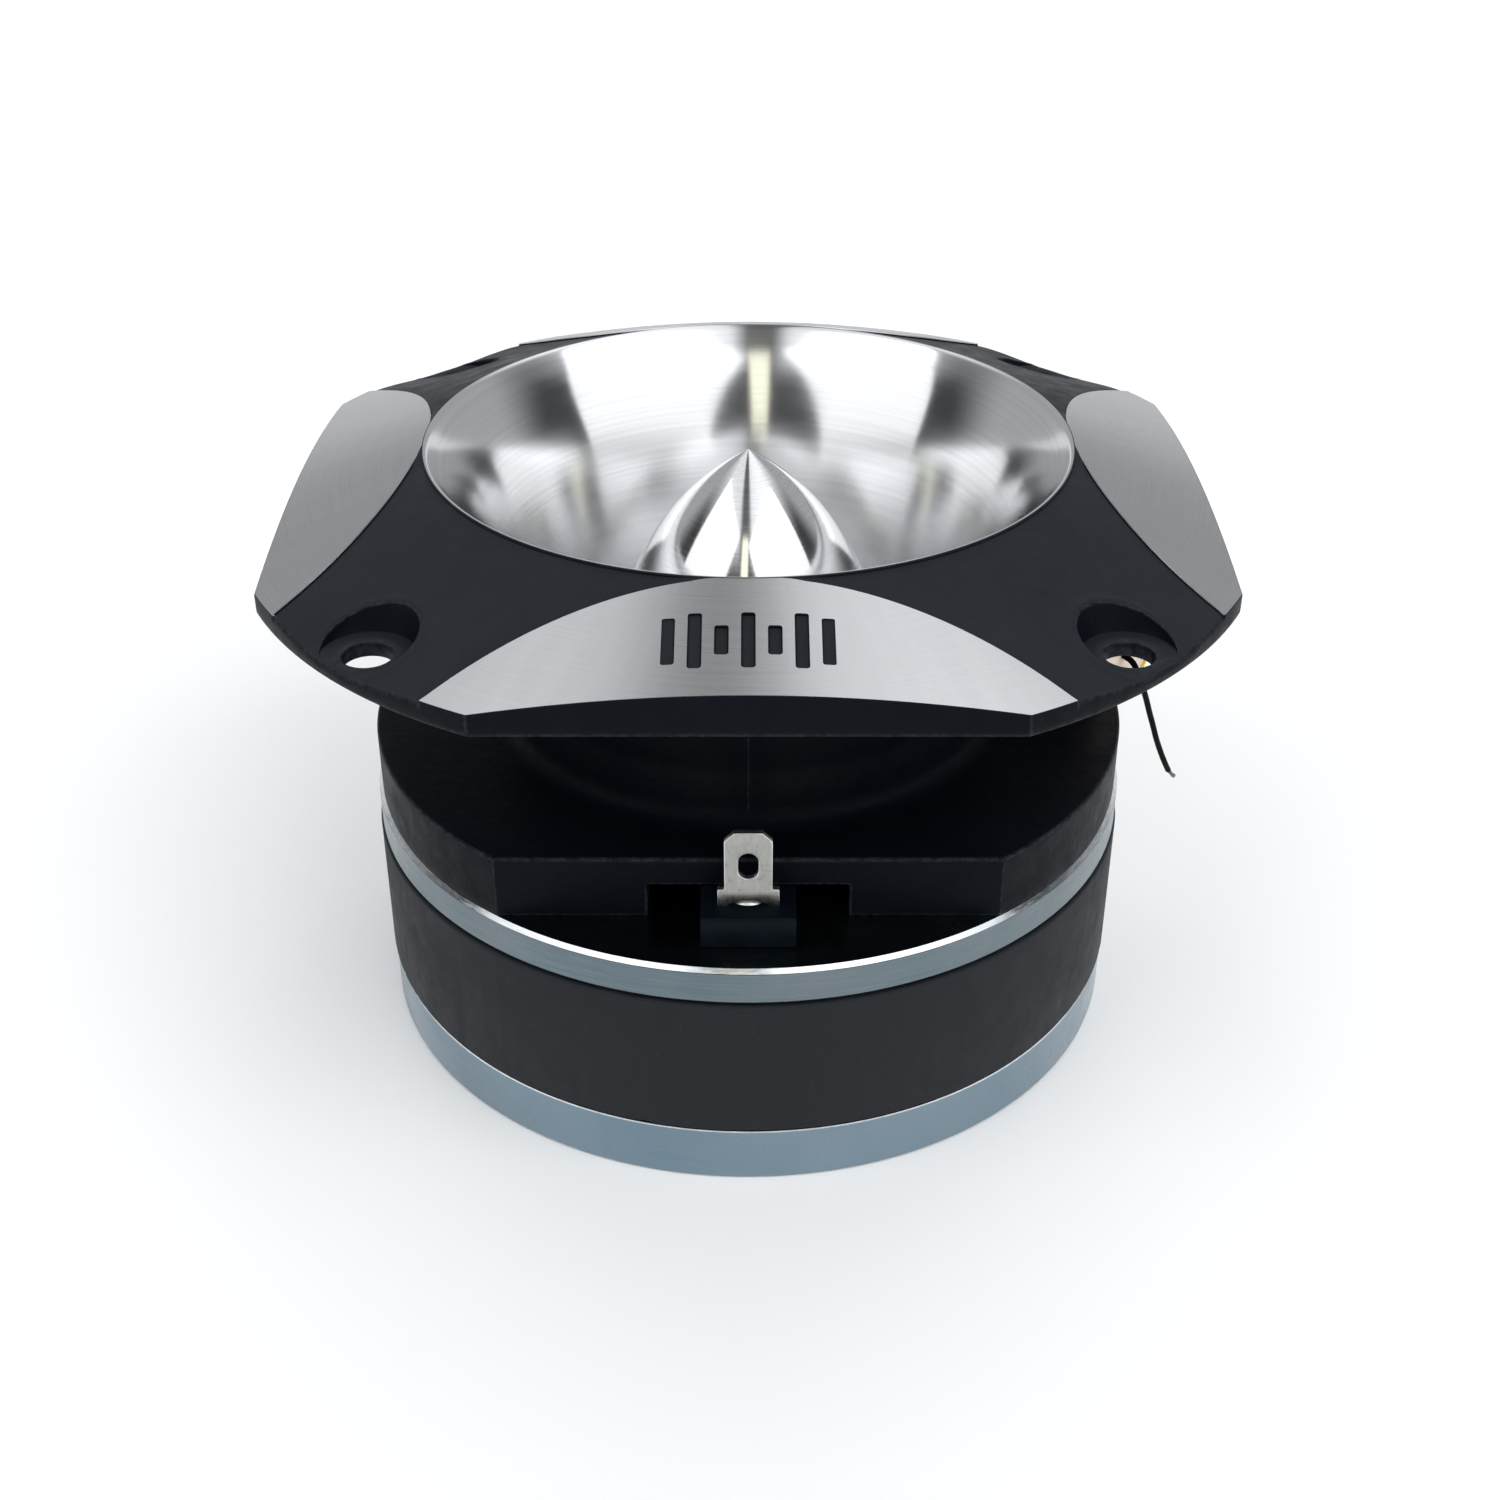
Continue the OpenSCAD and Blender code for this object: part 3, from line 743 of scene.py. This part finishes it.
def horn_angles():
    """Directions of the horn's columns: even steps, finer at corners and on every edge."""
    corners = [ARC_ROOT, ARC_TIP - 0.008, ARC_TIP - 0.004, ARC_TIP, ARC_TIP + 0.003, FLANGE_CORNER]
    exact = [q * QUARTER + s * c for q in range(4) for c in corners for s in (-1, 1)]
    exact += [h * pi + s * x for h in range(2) for s in (-1, 1)
              for x in (BASE_CORNER, 0.006, 0.012, 0.024)]
    exact = sorted(x % (tau) for x in exact)
    angles, a = [], 0
    while a < tau - 0.003:
        angles.append(a)
        a += radians(0.3 if from_face(a) > radians(37) else 0.75)
    spaced = [x for x in angles if min(abs(x - e) for e in exact) > 0.0025]
    return sorted(spaced + exact)


def bend(start, corner, end, steps=7):
    """Points after start on the curve that rounds off a corner."""
    return [tuple((1 - t) ** 2 * s + 2 * t * (1 - t) * c + t * t * e
                  for s, c, e in zip(start, corner, end)) for t in np.linspace(0, 1, steps + 1)[1:]]


def bowl_part():
    """The bowl, from the throat up and over the rounded lip."""
    mouth = MOUTH_Z - LIP_ROUND
    points = [(bowl_at(z), z) for z in THROAT_Z + (mouth - THROAT_Z) * np.linspace(0, 1, 72) ** 0.85]
    lip_end = (MOUTH_R + 0.2, face_at(MOUTH_R + 0.2))
    points += bend((bowl_at(mouth), mouth), (MOUTH_R, MOUTH_Z), lip_end)
    return points, [BARE] * (len(points) - 1) + [PAINT]


def front_part(a):
    """The flange's front, from lip to rim: paint, and a turned face that stands proud of it."""
    rim = flange_rim(a)
    turned = from_face(a) < ARC_TIP + 1e-9
    start = min(face_start(a), rim - 0.2) if turned else rim
    step = start - LIP_R
    if turned:
        edge = 0.08
        outer = start - min(0.1, step)
    else:
        edge = 0.42 + 0.05 * rough(a, rim, SEAT_Z, 2.5, 4) + 0.03 * rough(a, rim, SEAT_Z, 0.7, 5)
        outer = rim - edge
    inner = LIP_R + min(0.06, max(0, outer - LIP_R))
    fade = smooth(step / 1.5)

    def painted(r):
        """The skin, level with the turned face where that touches the mouth."""
        return face_at(r) + (cast_skin(a, r) - face_at(r)) * fade

    points = [(LIP_R, face_at(LIP_R))]
    points += [(r, painted(r)) for r in inner + (outer - inner) * np.linspace(0, 1, 54) ** 0.75]
    bands = [PAINT] * len(points)
    low = painted(outer)
    if turned:
        points.append((start - min(0.04, step), face_at(start) - min(0.1, face_at(start) - low)))
        first = min(start + 0.05, rim - edge)
        points += [(r, face_at(r)) for r in (first, *np.linspace(first + 0.04, rim - edge, 8))]
        bands += [TURNED] * 9 + [PAINT]
        top = face_at(rim - edge)
    else:
        # The same number of points as on a turned column, all in one place
        points += [(outer, low)] * 10
        bands += [PAINT] * 10
        top = low
    fall = face_at(rim - edge) - face_at(rim)
    points += [(rim - edge + edge * sin(t), top - (edge + fall) * (1 - cos(t)))
               for t in np.radians([22, 45, 68, 90])]
    return points, bands + [PAINT] * 4


def back_part(a):
    """The rim, the flat seat and the recessed back of the flange, in to the bell."""
    rim = flange_rim(a)
    worn = 0.03 * rough(a, rim, SEAT_Z, 1.1, 6)
    core = SEAT_Z + CORE_UP
    root = bell_at(SEAT_Z) + 2
    top = core + CORE_SLOPE * (SEAT_R - root)
    return [
        (rim, SEAT_Z + 0.9), (rim - 0.02, SEAT_Z + 0.35 + worn), (rim - 0.12, SEAT_Z + 0.1),
        (rim - 0.35 + worn, SEAT_Z), (SEAT_R + 0.4, SEAT_Z), (SEAT_R + 0.1, SEAT_Z + 0.1),
        (SEAT_R, SEAT_Z + 0.4), (SEAT_R - 0.1, core - 0.3), (SEAT_R - 0.4, core),
        *[(r, core + CORE_SLOPE * (SEAT_R - r)) for r in np.linspace(SEAT_R - 1, root + 1, 9)],
        (root + 0.1, top - 0.15), (root - 0.8, top - 0.9), (root - 1.6, SEAT_Z + 0.4),
    ]


def neck_part(a):
    """The bell and neck, with the mould's parting ridge at front and back, down to the base."""
    ridge = 0.14 * max(0, 1 - abs(sin(a)) / 0.012) * (1 + 0.4 * rough(a, NECK_R, 0, 3, 7))
    low = BASE_TOP + NECK_FILLET
    points = [(bell_at(z) + ridge + 0.03 * rough(a, NECK_R, z, 2.2, 8), z)
              for z in np.linspace(SEAT_Z - 0.8, low + 0.4, 30)]
    return points + arc((NECK_R + NECK_FILLET, low), NECK_FILLET, 190, 270, 5)


def base_part(a):
    """The base disc with its two flats, and the pocket over the diaphragm's frame."""
    side = min(BASE_R, BASE_FLAT / max(0.1, abs(cos(a))))
    bevel = 0.32 + 0.03 * rough(a, side, 0, 2.4, 9) + 0.02 * rough(a, side, 0, 0.8, 10)
    return [
        *[(r, BASE_TOP) for r in np.linspace(NECK_R + 2.8, side - bevel, 6)],
        *arc((side - bevel, BASE_TOP - bevel), bevel, 65, 15, 3),
        *[(side - 0.01 + 0.02 * rough(a, side, z, 1.8, 11), z)
          for z in np.linspace(BASE_TOP - 0.7, DECK + 0.3, 7)],
        (side - 0.08, DECK + 0.08), (side - 0.3, DECK), (POCKET_R, DECK), (POCKET_R, THROAT_Z),
    ]


def horn_column(a):
    """One column of the horn, from the throat over the flange to the base."""
    bowl, bowl_bands = bowl_part()
    front, front_bands = front_part(a)
    rest = back_part(a) + neck_part(a) + base_part(a)
    return bowl + front + rest, bowl_bands + front_bands + [PAINT] * len(rest)


def screw_recess(corner):
    """Cutter for a mounting hole and its recess, whose rim flares out to the skin.

    psi runs round the hole from the side nearest the flange's rim.
    """
    turn = (corner + 0.5) * QUARTER
    floor = SEAT_Z + RECESS_UP
    columns = []
    psis = np.linspace(0, tau, 96, endpoint=False)
    for psi in psis:

        def skin(reach):
            """Height of the paint at this distance from the hole's middle."""
            x = PCD / 2 + reach * cos(psi)
            y = reach * sin(psi)
            return paint_at(turn + atan2(y, x), hypot(x, y))

        # The wall's radius and the skin's height depend on each other: found by repetition
        wall = RECESS_R
        for _ in range(4):
            wall = recess_wall(skin(wall))
        rise = max(0, skin(wall) - floor)
        top = max(floor, skin(wall))
        flare = min(0.26, rise * 0.4)
        jag = 0.08 * noise.noise(Vector((cos(psi) * 6, sin(psi) * 6, corner * 9)))
        shape = [
            (0, SEAT_Z - 2), (HOLE_R, SEAT_Z - 2), (HOLE_R, floor - 0.3),
            (HOLE_R + 0.06, floor - 0.1), (HOLE_R + 0.25, floor), (RECESS_R - 0.5, floor),
            (RECESS_R - 0.06, floor + min(0.02, rise * 0.05)),
            (RECESS_R + 0.01, floor + min(0.1, rise * 0.2)),
        ]
        for t in np.radians([0, 30, 60, 90]):
            reach = wall - 0.3 * flare + (flare + jag * min(1, rise)) * (1 - cos(t))
            high = top - flare * (1 - sin(t)) + 0.13 * sin(t)
            shape.append((max(reach, RECESS_R), max(high, floor + 0.01)))
        shape += [(wall + 1.2, top + 0.9), (wall + 1.2, MOUTH_Z + 4), (0, MOUTH_Z + 4)]
        columns.append(shape)
    cutter = revolve("recess", columns, psis + turn, ["painted_casting"], closed=False)
    return put_out(cutter, PCD / 2, turn)


def emblem_bar(index):
    """Cutter for one bar of the emblem, whose floor follows the turned face."""
    side = index - (BAR_COUNT - 1) / 2
    length = BAR_SHORT + abs(side) if index % 2 == 0 else BAR_LONG
    x, half = side * BAR_PITCH, BAR_W / 2
    near, far = EMBLEM_R - length / 2, EMBLEM_R + length / 2
    mesh = bpy.data.meshes.new("bar")
    with edited(mesh) as work:
        bmesh.ops.create_cube(work, size=1)
        for v in work.verts:
            y = near if v.co.y > 0 else far
            z = MOUTH_Z + 2 if v.co.z > 0 else face_at(y) - BAR_DEPTH
            v.co = Vector((x + (half if v.co.x > 0 else -half), -y, z)) * MM
        upright = [e for e in work.edges if abs(e.verts[0].co.z - e.verts[1].co.z) > 0.001]
        bmesh.ops.bevel(work, geom=upright, offset=0.25 * MM, segments=4, profile=0.5, affect="EDGES")
    return finish_mesh("bar", mesh, ["painted_casting"])


def mark_wear(obj):
    """Stores how convex the mesh is at each vertex, which is where paint wears."""
    with edited(obj.data) as work:
        work.normal_update()
        layer = work.verts.layers.float.new("wear")
        for v in work.verts:
            bends = [e.calc_face_angle_signed(0) for e in v.link_edges if len(e.link_faces) == 2]
            v[layer] = min(1, max(0, 2 * max(bends, default=0)))


def make_horn():
    """The casting, with its recesses, emblem and notches cut into it."""
    angles = horn_angles()
    columns, bands = zip(*(horn_column(a) for a in angles))
    horn = revolve("horn_body", columns, angles, ["painted_casting", "polished_bowl", "turned_face"],
                   bands)
    cutters = [*map(screw_recess, range(4)), *map(emblem_bar, range(BAR_COUNT))]
    for s in (-1, 1):
        cutters.append(block("notch", (-NOTCH_W / 2, s * NOTCH_Y, DECK - 1),
                             (NOTCH_W / 2, s * (BASE_FLAT + 2), DECK + NOTCH_H), "painted_casting", 0.3))
    cut(horn, join_meshes("horn_cutters", cutters))
    shade(horn.data)
    mark_wear(horn)
    show(horn, "painted_casting", "horn_casting")


# ---- turned pieces


def make_bullet():
    """The bullet, with the bolt's hole up its middle."""
    high = TIP_Z - THROAT_Z
    cone = [(min(bullet_at(z), BULLET_FOOT_R), z)
            for z in THROAT_Z + high * (1 - (1 - np.linspace(0, 1, 96)) ** 1.4)]
    profile = [(0, BOLT_HOLE_TOP), (BOLT_HOLE_R, BOLT_HOLE_TOP), (BOLT_HOLE_R, THROAT_Z),
               *cone[:-1], (0, TIP_Z)]
    bullet = lathe("bullet_cone", profile, ["turned_bullet"], segments=256, closed=False)
    show(bullet, "polished_aluminium", "bullet")


def make_top_plate():
    """The front plate, with its chamfer and the countersunk holes of the horn's screws."""
    outer, low, high, c = radius_of("top_plate"), bottom_of("top_plate"), DECK, PLATE_CHAMFER
    profile = [
        (PLATE_BORE_R, low), *arc((outer - 0.15, low + 0.15), 0.15, -90, 0, 3),
        (outer, high - c - 0.04), (outer - 0.03, high - c + 0.02),
        (outer - c - 0.02, high - 0.03), (outer - c - 0.1, high), (PLATE_BORE_R, high),
    ]
    bands = [0, 0, 0, 0, 0, 1, 0, 0, 0]
    top = lathe("top_plate_steel", profile, ["blue_zinc_steel", "bright_zinc"], bands, 288, 20)
    cutters = []
    for corner in range(4):
        hole = lathe("hole", [
            (AXIS_R, low - 1), (3.8, low - 1), (3.8, low), (2, low + 2),
            (2, high + 1), (AXIS_R, high + 1)], ["blue_zinc_steel"], segments=32)
        cutters.append(put_out(hole, PLATE_SCREW_R, (corner + 0.5) * QUARTER))
    cut(top, join_meshes("plate_cutters", cutters))
    shade(top.data, 20)
    show(top, "blue_zinc_steel", "top_plate")


def make_back_plate():
    """The back plate, with the pocket for the bolt's head."""
    outer, h = radius_of("back_plate"), top_of("back_plate")
    profile = [
        (BOLT_POCKET_R, 0.15), (BOLT_POCKET_R + 0.15, 0), *arc((outer - 0.5, 0.5), 0.5, -90, 0, 5),
        *arc((outer - 0.2, h - 0.2), 0.2, 0, 90, 3), (BOLT_R + 0.3, h), (BOLT_R + 0.3, WASHER_HIGH),
        (BOLT_POCKET_R, WASHER_HIGH),
    ]
    bands = [0] * 7 + [1, 1, 0, 0, 0, 0]
    back = lathe("back_plate_steel", profile, ["blue_zinc_steel", "bright_zinc"], bands, 288, 30)
    show(back, "blue_zinc_steel", "back_plate")


def make_magnet():
    """The ferrite ring."""
    outer, low, high = radius_of("magnet"), bottom_of("magnet"), top_of("magnet")

    def worn(a, r, z):
        """Tiny chips along both edges of the ferrite."""
        if r < outer - 1 or (low + 0.6 < z < high - 0.6):
            return r, z
        chip = max(0, rough(a, r, z, 0.8, 12) - 0.28) * 0.5
        return r - chip * 0.3, z + (chip if z < (low + high) / 2 else -chip) * 0.4

    profile = ring_profile(outer, MAGNET_BORE_R, low, high, 0.28, 4)
    magnet = lathe("magnet_ferrite", profile, ["ferrite"], segments=512, sharp=50, wobble=worn)
    show(magnet, "ferrite", "magnet")


def make_glue():
    """The two adhesive joints, as beads that are nowhere quite even."""
    for node, bulge in (("front_glue_ring", 0.2), ("rear_glue_ring", 0.12)):
        outer, low, high = radius_of(node), bottom_of(node), top_of(node)

        def uneven(a, r, z, outer=outer, bulge=bulge):
            if r < outer - 1:
                return r, z
            swell = 0.4 + 0.6 * rough(a, outer, 0, 5, 13) + 0.25 * rough(a, outer, 0, 1.3, 14)
            return r + bulge * swell - 0.1, z

        mid = (low + high) / 2
        profile = [(MAGNET_BORE_R, low), (outer - 0.1, low), (outer, (low + mid) / 2), (outer + 0.05, mid),
                   (outer, (high + mid) / 2), (outer - 0.1, high), (MAGNET_BORE_R, high)]
        bead = lathe(node.replace("_ring", "_bead"), profile, ["adhesive"], segments=512, wobble=uneven)
        show(bead, "adhesive", node)


def make_bolt():
    """The cross-recess bolt and washer that hold the bullet from behind."""
    low, high, tip, dome = 0.5, WASHER_LOW, 48, 1.2
    profile = [
        (0, low), (3.2, low), *arc((BOLT_HEAD_R - dome, low + dome), dome, -80, 0, 6),
        (BOLT_HEAD_R, high), (BOLT_R, high), (BOLT_R, tip - 0.4), (BOLT_R - 0.4, tip), (0, tip),
    ]
    bolt = lathe("bolt_steel", profile, ["zinc_screw"], segments=96, closed=False)
    for x, y in ((2.6, 0.5), (0.5, 2.6)):
        cut(bolt, block("arm", (-x, -y, low - 1), (x, y, low + 1.4), "zinc_screw", 0.12))
    shade(bolt.data)
    show(bolt, "zinc_screw", "bullet_bolt")
    profile = ring_profile(5.8, BOLT_R + 0.1, WASHER_LOW, WASHER_HIGH, 0.12, 3)
    washer = lathe("washer_steel", profile, ["zinc_screw"], segments=96)
    show(washer, "zinc_screw", "bolt_washer")


def make_diaphragm():
    """The thin ring diaphragm, whose V the coil pulls up and down."""
    rim, low, t, v = CLAMP_Z, bottom_of("diaphragm"), 0.12, COIL_MIDDLE_R
    under = [(12, rim), (16.3, rim), (16.7, rim - 0.12)]
    under += [(v - 0.45, low + 0.25), (v - 0.17, low), (v + 0.17, low), (v + 0.45, low + 0.25)]
    under += [(21.5, rim - 0.12), (21.9, rim), (25.5, rim)]
    profile = under + [(r, z + t) for r, z in reversed(under)]
    foil = lathe("diaphragm_foil", profile, ["titanium_foil"], segments=192, sharp=60)
    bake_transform(foil)
    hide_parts("diaphragm")


# ---- terminals and their tongues


def stamping(name, loops, thickness, edge, material):
    """A flat stamping in the XZ plane, centred on y = 0: its outline, then its holes."""
    loops = [[(x, z, 0) for x, z in loop] for loop in loops]
    sheet, lines = curve(name, "POLY", loops, dimensions="2D", fill_mode="BOTH",
                         extrude=(thickness / 2 - edge) * MM, bevel_depth=edge * MM,
                         bevel_resolution=2, offset=-edge * MM)
    for line in lines:
        line.use_cyclic_u = True
    mesh = baked(sheet)
    bpy.data.objects.remove(sheet)
    mesh.transform(Matrix(((1, 0, 0, 0), (0, 0, -1, 0), (0, 1, 0, 0), (0, 0, 0, 1))))
    return finish_mesh(name, mesh, [material], 30)


def make_tab(side):
    """One push-on tab with its foot; side is -1 in front and 1 behind. Returns its rivet."""
    name = "front" if side < 0 else "rear"
    node = f"{name}_tab"
    top, foot = top_of(node), bottom_of(node)
    half, shoulder, lift = BLADE_HALF, FOOT_HALF, TONGUE_TOP + 1.95
    c, r = 0.95, 0.12
    right = [
        (shoulder, foot), (shoulder, lift - r), (shoulder - r, lift), (half + 0.1, lift),
        (half, lift + 0.1), (half, top - c - r), (half - 0.05, top - c), (half - c, top - 0.05),
        (half - c - r, top),
    ]
    left = [(-x, z) for x, z in reversed(right)]
    arch = [(x, TONGUE_TOP - 0.1 + 0.75 * cos(x / (half - 0.05) * QUARTER))
            for x in np.linspace(0.1 - half, half - 0.1, 15)]
    outline = [*right, *left, (-half, foot), *arch, (half, foot)]
    slot_z, slot_r, reach = TONGUE_TOP + 4.75, 1.0, 0.5
    slot = arc((0, slot_z + reach), slot_r, 0, 180, 13) + arc((0, slot_z - reach), slot_r, 180, 360, 13)
    blade = put_out(stamping("blade", [outline, slot], BLADE_T, 0.14, "tinned_brass"), BLADE_Y, 0)
    sole = block("foot", (-shoulder, -BLADE_Y + 0.45, foot),
                 (shoulder, -FOOT_REAR, TONGUE_TOP), "tinned_brass", 0.12, 3)
    eyelet = lathe("rivet", [
        (AXIS_R, TONGUE_TOP + 0.33), (0.8, TONGUE_TOP + 0.35), (1.8, TONGUE_TOP + 0.34),
        (2.0, TONGUE_TOP + 0.27), (2.2, TONGUE_TOP + 0.1), (2.38, TONGUE_TOP - 0.14),
        (0.9, TONGUE_TOP - 0.02), (0.9, DECK + 1.1), (1.6, DECK + 1.1), (1.6, DECK + 0.55),
        (AXIS_R, DECK + 0.5),
    ], ["tinned_brass"], segments=48)
    put_out(eyelet, EYELET_Y, 0)
    whole = join_meshes(f"{name}_terminal", [blade, sole])
    for o in (whole, eyelet):
        if side > 0:
            o.data.transform(Matrix.Rotation(pi, 4, "Z"))
        shade(o.data, 30)
    show(whole, "tinned_brass", node)
    return eyelet


def make_frame():
    """The moulded ring under the horn, with a tongue at front and rear."""
    ring = lathe("moulded_ring", [
        (21.8, DECK), (26, DECK), (26, CLAMP_Z - 0.2), (25.8, CLAMP_Z), (21.8, CLAMP_Z)],
        ["black_plastic"], segments=160)
    parts = [ring]
    for side in (-1, 1):
        parts.append(block("tongue", (-4.8, side * 25.4, DECK), (4.8, side * 38.5, CLAMP_Z - 0.02),
                           "black_plastic", 0.18, 3))
        parts.append(block("step", (-4.75, side * 26.8, DECK + 1),
                           (4.75, side * 38.45, TONGUE_TOP - 0.02), "black_plastic", 0.3, 3))
    body = join_meshes("tongue_moulding", parts)
    shade(body.data, 35)
    show(body, "black_plastic", "diaphragm_frame")


# ---- capacitor and its leads


def on_capacitor(obj):
    """Moves an object drawn along +Z from the capacitor's soldered end into place."""
    end, way = Vector(CAP_END), Vector(CAP_DIR)
    start = end - CAP_L * way
    turn = way.to_track_quat("Z", "Y").to_matrix().to_4x4()
    obj.data.transform(Matrix.Translation(start * MM) @ turn)
    return obj


def make_tape():
    """The capacitor's body: film with a wrapping of yellow tape."""
    r, length = CAP_R, CAP_L

    def wrapped(a, radius, z):
        """The tape's last turn makes a small step along the body."""
        if radius < r - 0.5:
            return radius, z
        step = 0.07 * smooth((degrees(a) - 200) / 3)
        return radius - 0.1 + step + 0.03 * noise.noise(Vector((a * 2, z / 4, 3))), z

    end = [(r - 0.35, 1.1), (r - 0.35, 0.1), (r - 0.2, 0), (r - 0.03, 0.1), (r, 0.4)]
    middle = [(r, z) for z in np.linspace(1.5, length - 1.5, 16)]
    profile = end + middle + [(x, length - z) for x, z in reversed(end)]
    tape = lathe("capacitor_tape", profile, ["yellow_film"], segments=96, sharp=50, wobble=wrapped)
    show(on_capacitor(tape), "yellow_film", "capacitor_body")


def make_resin():
    """The resin in the capacitor's two ends, poured and a little uneven."""
    r = CAP_R

    def poured(a, radius, z):
        if not 0.1 < radius < r - 0.4:
            return radius, z
        at = Vector((radius * cos(a), radius * sin(a), 5))
        return radius, z + 0.05 * noise.noise(at)

    ends = []
    for face, back, out in ((0.25, 1.15, -1), (CAP_L - 0.25, CAP_L - 1.15, 1)):
        profile = [(AXIS_R, back), (r - 0.34, back), (r - 0.34, face - out * 0.02),
                   (r - 0.7, face - out * 0.14), (1.5, face - out * 0.1), (0.6, face), (AXIS_R, face)]
        end = lathe("resin", profile, ["end_resin"], segments=64, sharp=60, wobble=poured)
        ends.append(on_capacitor(end))
    resin = join_meshes("capacitor_resin", ends)
    shade(resin.data, 60)
    show(resin, "end_resin", "capacitor_end_fill")


def make_soldered_lead():
    """The capacitor's inner lead, and the blob of solder that holds it to the rear tab."""
    lead = tube("soldered_lead", SOLDER_ROUTE, 0.4, "solder", 8)
    show(lead, "tinned_brass", "capacitor_solder_lead")

    def lumpy(a, radius, z):
        at = Vector((cos(a) * 1.2, sin(a) * 1.2, z))
        return radius * (1 + 0.1 * noise.noise(at)), z

    r = 1.45
    blob = lathe("solder_blob", [(AXIS_R, -r), *arc((0, 0), r, -80, 80, 17), (AXIS_R, r)],
                 ["solder"], segments=48, sharp=80, wobble=lumpy)
    low, high = box_mm("solder_joint")
    middle = Matrix.Translation(Vector((low + high) / 2) * MM)
    blob.data.transform(middle @ Matrix.Diagonal((1, 0.8, 1, 1)))
    show(blob, "solder", "solder_joint")


def make_free_lead():
    """The sleeved free lead, cut off with its strands bare."""
    lead = tube("free_lead", FREE_ROUTE, LEAD_R, "lead_sleeve", 8)
    show(lead, "lead_sleeve", "capacitor_free_lead")
    strands = []
    start, middle, end = (Vector(p) for p in FREE_TIP)
    along = (end - start).normalized()
    across = along.orthogonal().normalized()
    for i in range(7):
        spin = i * tau / 6
        r = 0.0 if i == 6 else 0.17
        points = []
        for t in np.linspace(-0.15, 1, 7):
            base = start.lerp(middle, t * 2) if t < 0.5 else middle.lerp(end, t * 2 - 1)
            out = Matrix.Rotation(spin + 1.6 * t, 3, along) @ across
            points.append(base + out * (r + 0.1 * max(0, t - 0.7) * (i % 3)))
        wire = tube("wire", points, 0.08, "bare_wire", 3)
        strands.append(add("strand", baked(wire)))
        bpy.data.objects.remove(wire)
    tip = join_meshes("lead_strands", strands)
    tip.data.shade_smooth()
    show(tip, "tinned_brass")


# ---- assembling


def finish_hidden_nodes():
    """Procedural finishes for the CAD nodes that stay: the parts sealed inside."""
    for node, slot in {
        "pole_piece": "blue_zinc_steel", "inner_clamp_ring": "black_plastic",
        "voice_coil_former": "polyimide", "voice_coil_winding": "copper",
        "coil_lead_front": "copper", "coil_lead_rear": "copper", "horn_screws": "zinc_screw",
    }.items():
        materials = frame["nodes"][node].data.materials
        materials.clear()
        materials.append(MATERIALS[slot])


def make_floor():
    """A plain pale floor, which isn't part of the object."""
    s = Surface("floor", (0.9, 0.9, 0.9), 0.6, Specular_IOR_Level=0.25)
    s.set("Base Color", s.mix(s.noise(8, 2, 0.5), (0.895, 0.895, 0.895), (0.91, 0.91, 0.91)))
    mesh = bpy.data.meshes.new("floor")
    with edited(mesh) as work:
        bmesh.ops.create_grid(work, x_segments=8, y_segments=8, size=3)
    mesh.materials.append(s.material)
    floor = add("floor", mesh)


def make_world():
    """A dim room with a bright horizon and a paler rear wall.

    A dark band splits its bright ceiling above the part, from front to back.
    """
    world = bpy.data.worlds.new("studio")
    bpy.context.scene.world = world
    world.use_nodes = True
    n = Nodes(world.node_tree)

    def fade(*values):
        return n.span(*values, interpolation_type="SMOOTHSTEP")

    way = n.node("TexCoord").outputs["Generated"]
    x, y, z = (n.part(way, axis) for axis in range(3))
    rear_wall = n.times(fade(y, 0.08, 0.5, 0.05, 0.4), fade(z, 0.6, 0.9, 1.0, 0.45))
    walls = n.math("MAXIMUM", rear_wall, fade(z, 0.1, 0.2, 0.8, 0.0))
    from_band = n.math("ABSOLUTE", n.math("ADD", x, 0.055))
    ceiling = n.times(fade(z, 0.55, 0.9, 0.0, 0.9), fade(from_band, 0.05, 0.15, 0.12, 1.0))
    ceiling = n.times(ceiling, fade(x, -0.1, 0.35, 0.96, 1.25))
    colour, strength = n.tree.nodes["Background"].inputs[:2]
    n.put(colour, (0.95, 0.97, 1))
    n.put(strength, n.math("ADD", walls, ceiling))


def make_lights():
    """A tall softbox on each side of the camera, a warm strip between them and a rear lamp.

    Each softbox has a stronger twin for matt surfaces, which mirrors don't show.
    """
    middle = (0, 0, 0.05)
    for name, side, turn, width in (("left", -1, 58.5, 0.85), ("right", 1, 48, 1.09)):
        turn = radians(turn)
        where = (side * 0.75 * sin(turn), -0.75 * cos(turn), 0.64)
        size, colour = (width, 0.85), (0.97, 0.985, 1)
        make_light(f"softbox_{name}", where, middle, size, 3.1 * width, colour)
        fill = make_light(f"fill_{name}", where, middle, size, 9.5 * width, colour)
        fill.visible_glossy = False
    make_light("warm_strip", (-0.07, -0.75, 0.62), middle, (0.115, 0.6), 0.27, (1, 0.99, 0.78))
    rear = make_light("rear_lamp", (0, 1.05, 1.1), (0, 0.5, 0), (2, 0.6), 8)
    rear.visible_glossy = False


make_camera()
make_materials()
make_free_lead()
make_horn()
make_bullet()
make_top_plate()
make_back_plate()
make_magnet()
make_glue()
make_bolt()
make_diaphragm()
make_frame()
rivets = join_meshes("terminal_rivets", [make_tab(-1), make_tab(1)])
show(rivets, "tinned_brass", "tab_rivets")
make_tape()
make_resin()
make_soldered_lead()
finish_hidden_nodes()
make_floor()
make_world()
make_lights()
bpy.context.scene.view_settings.view_transform = "Standard"
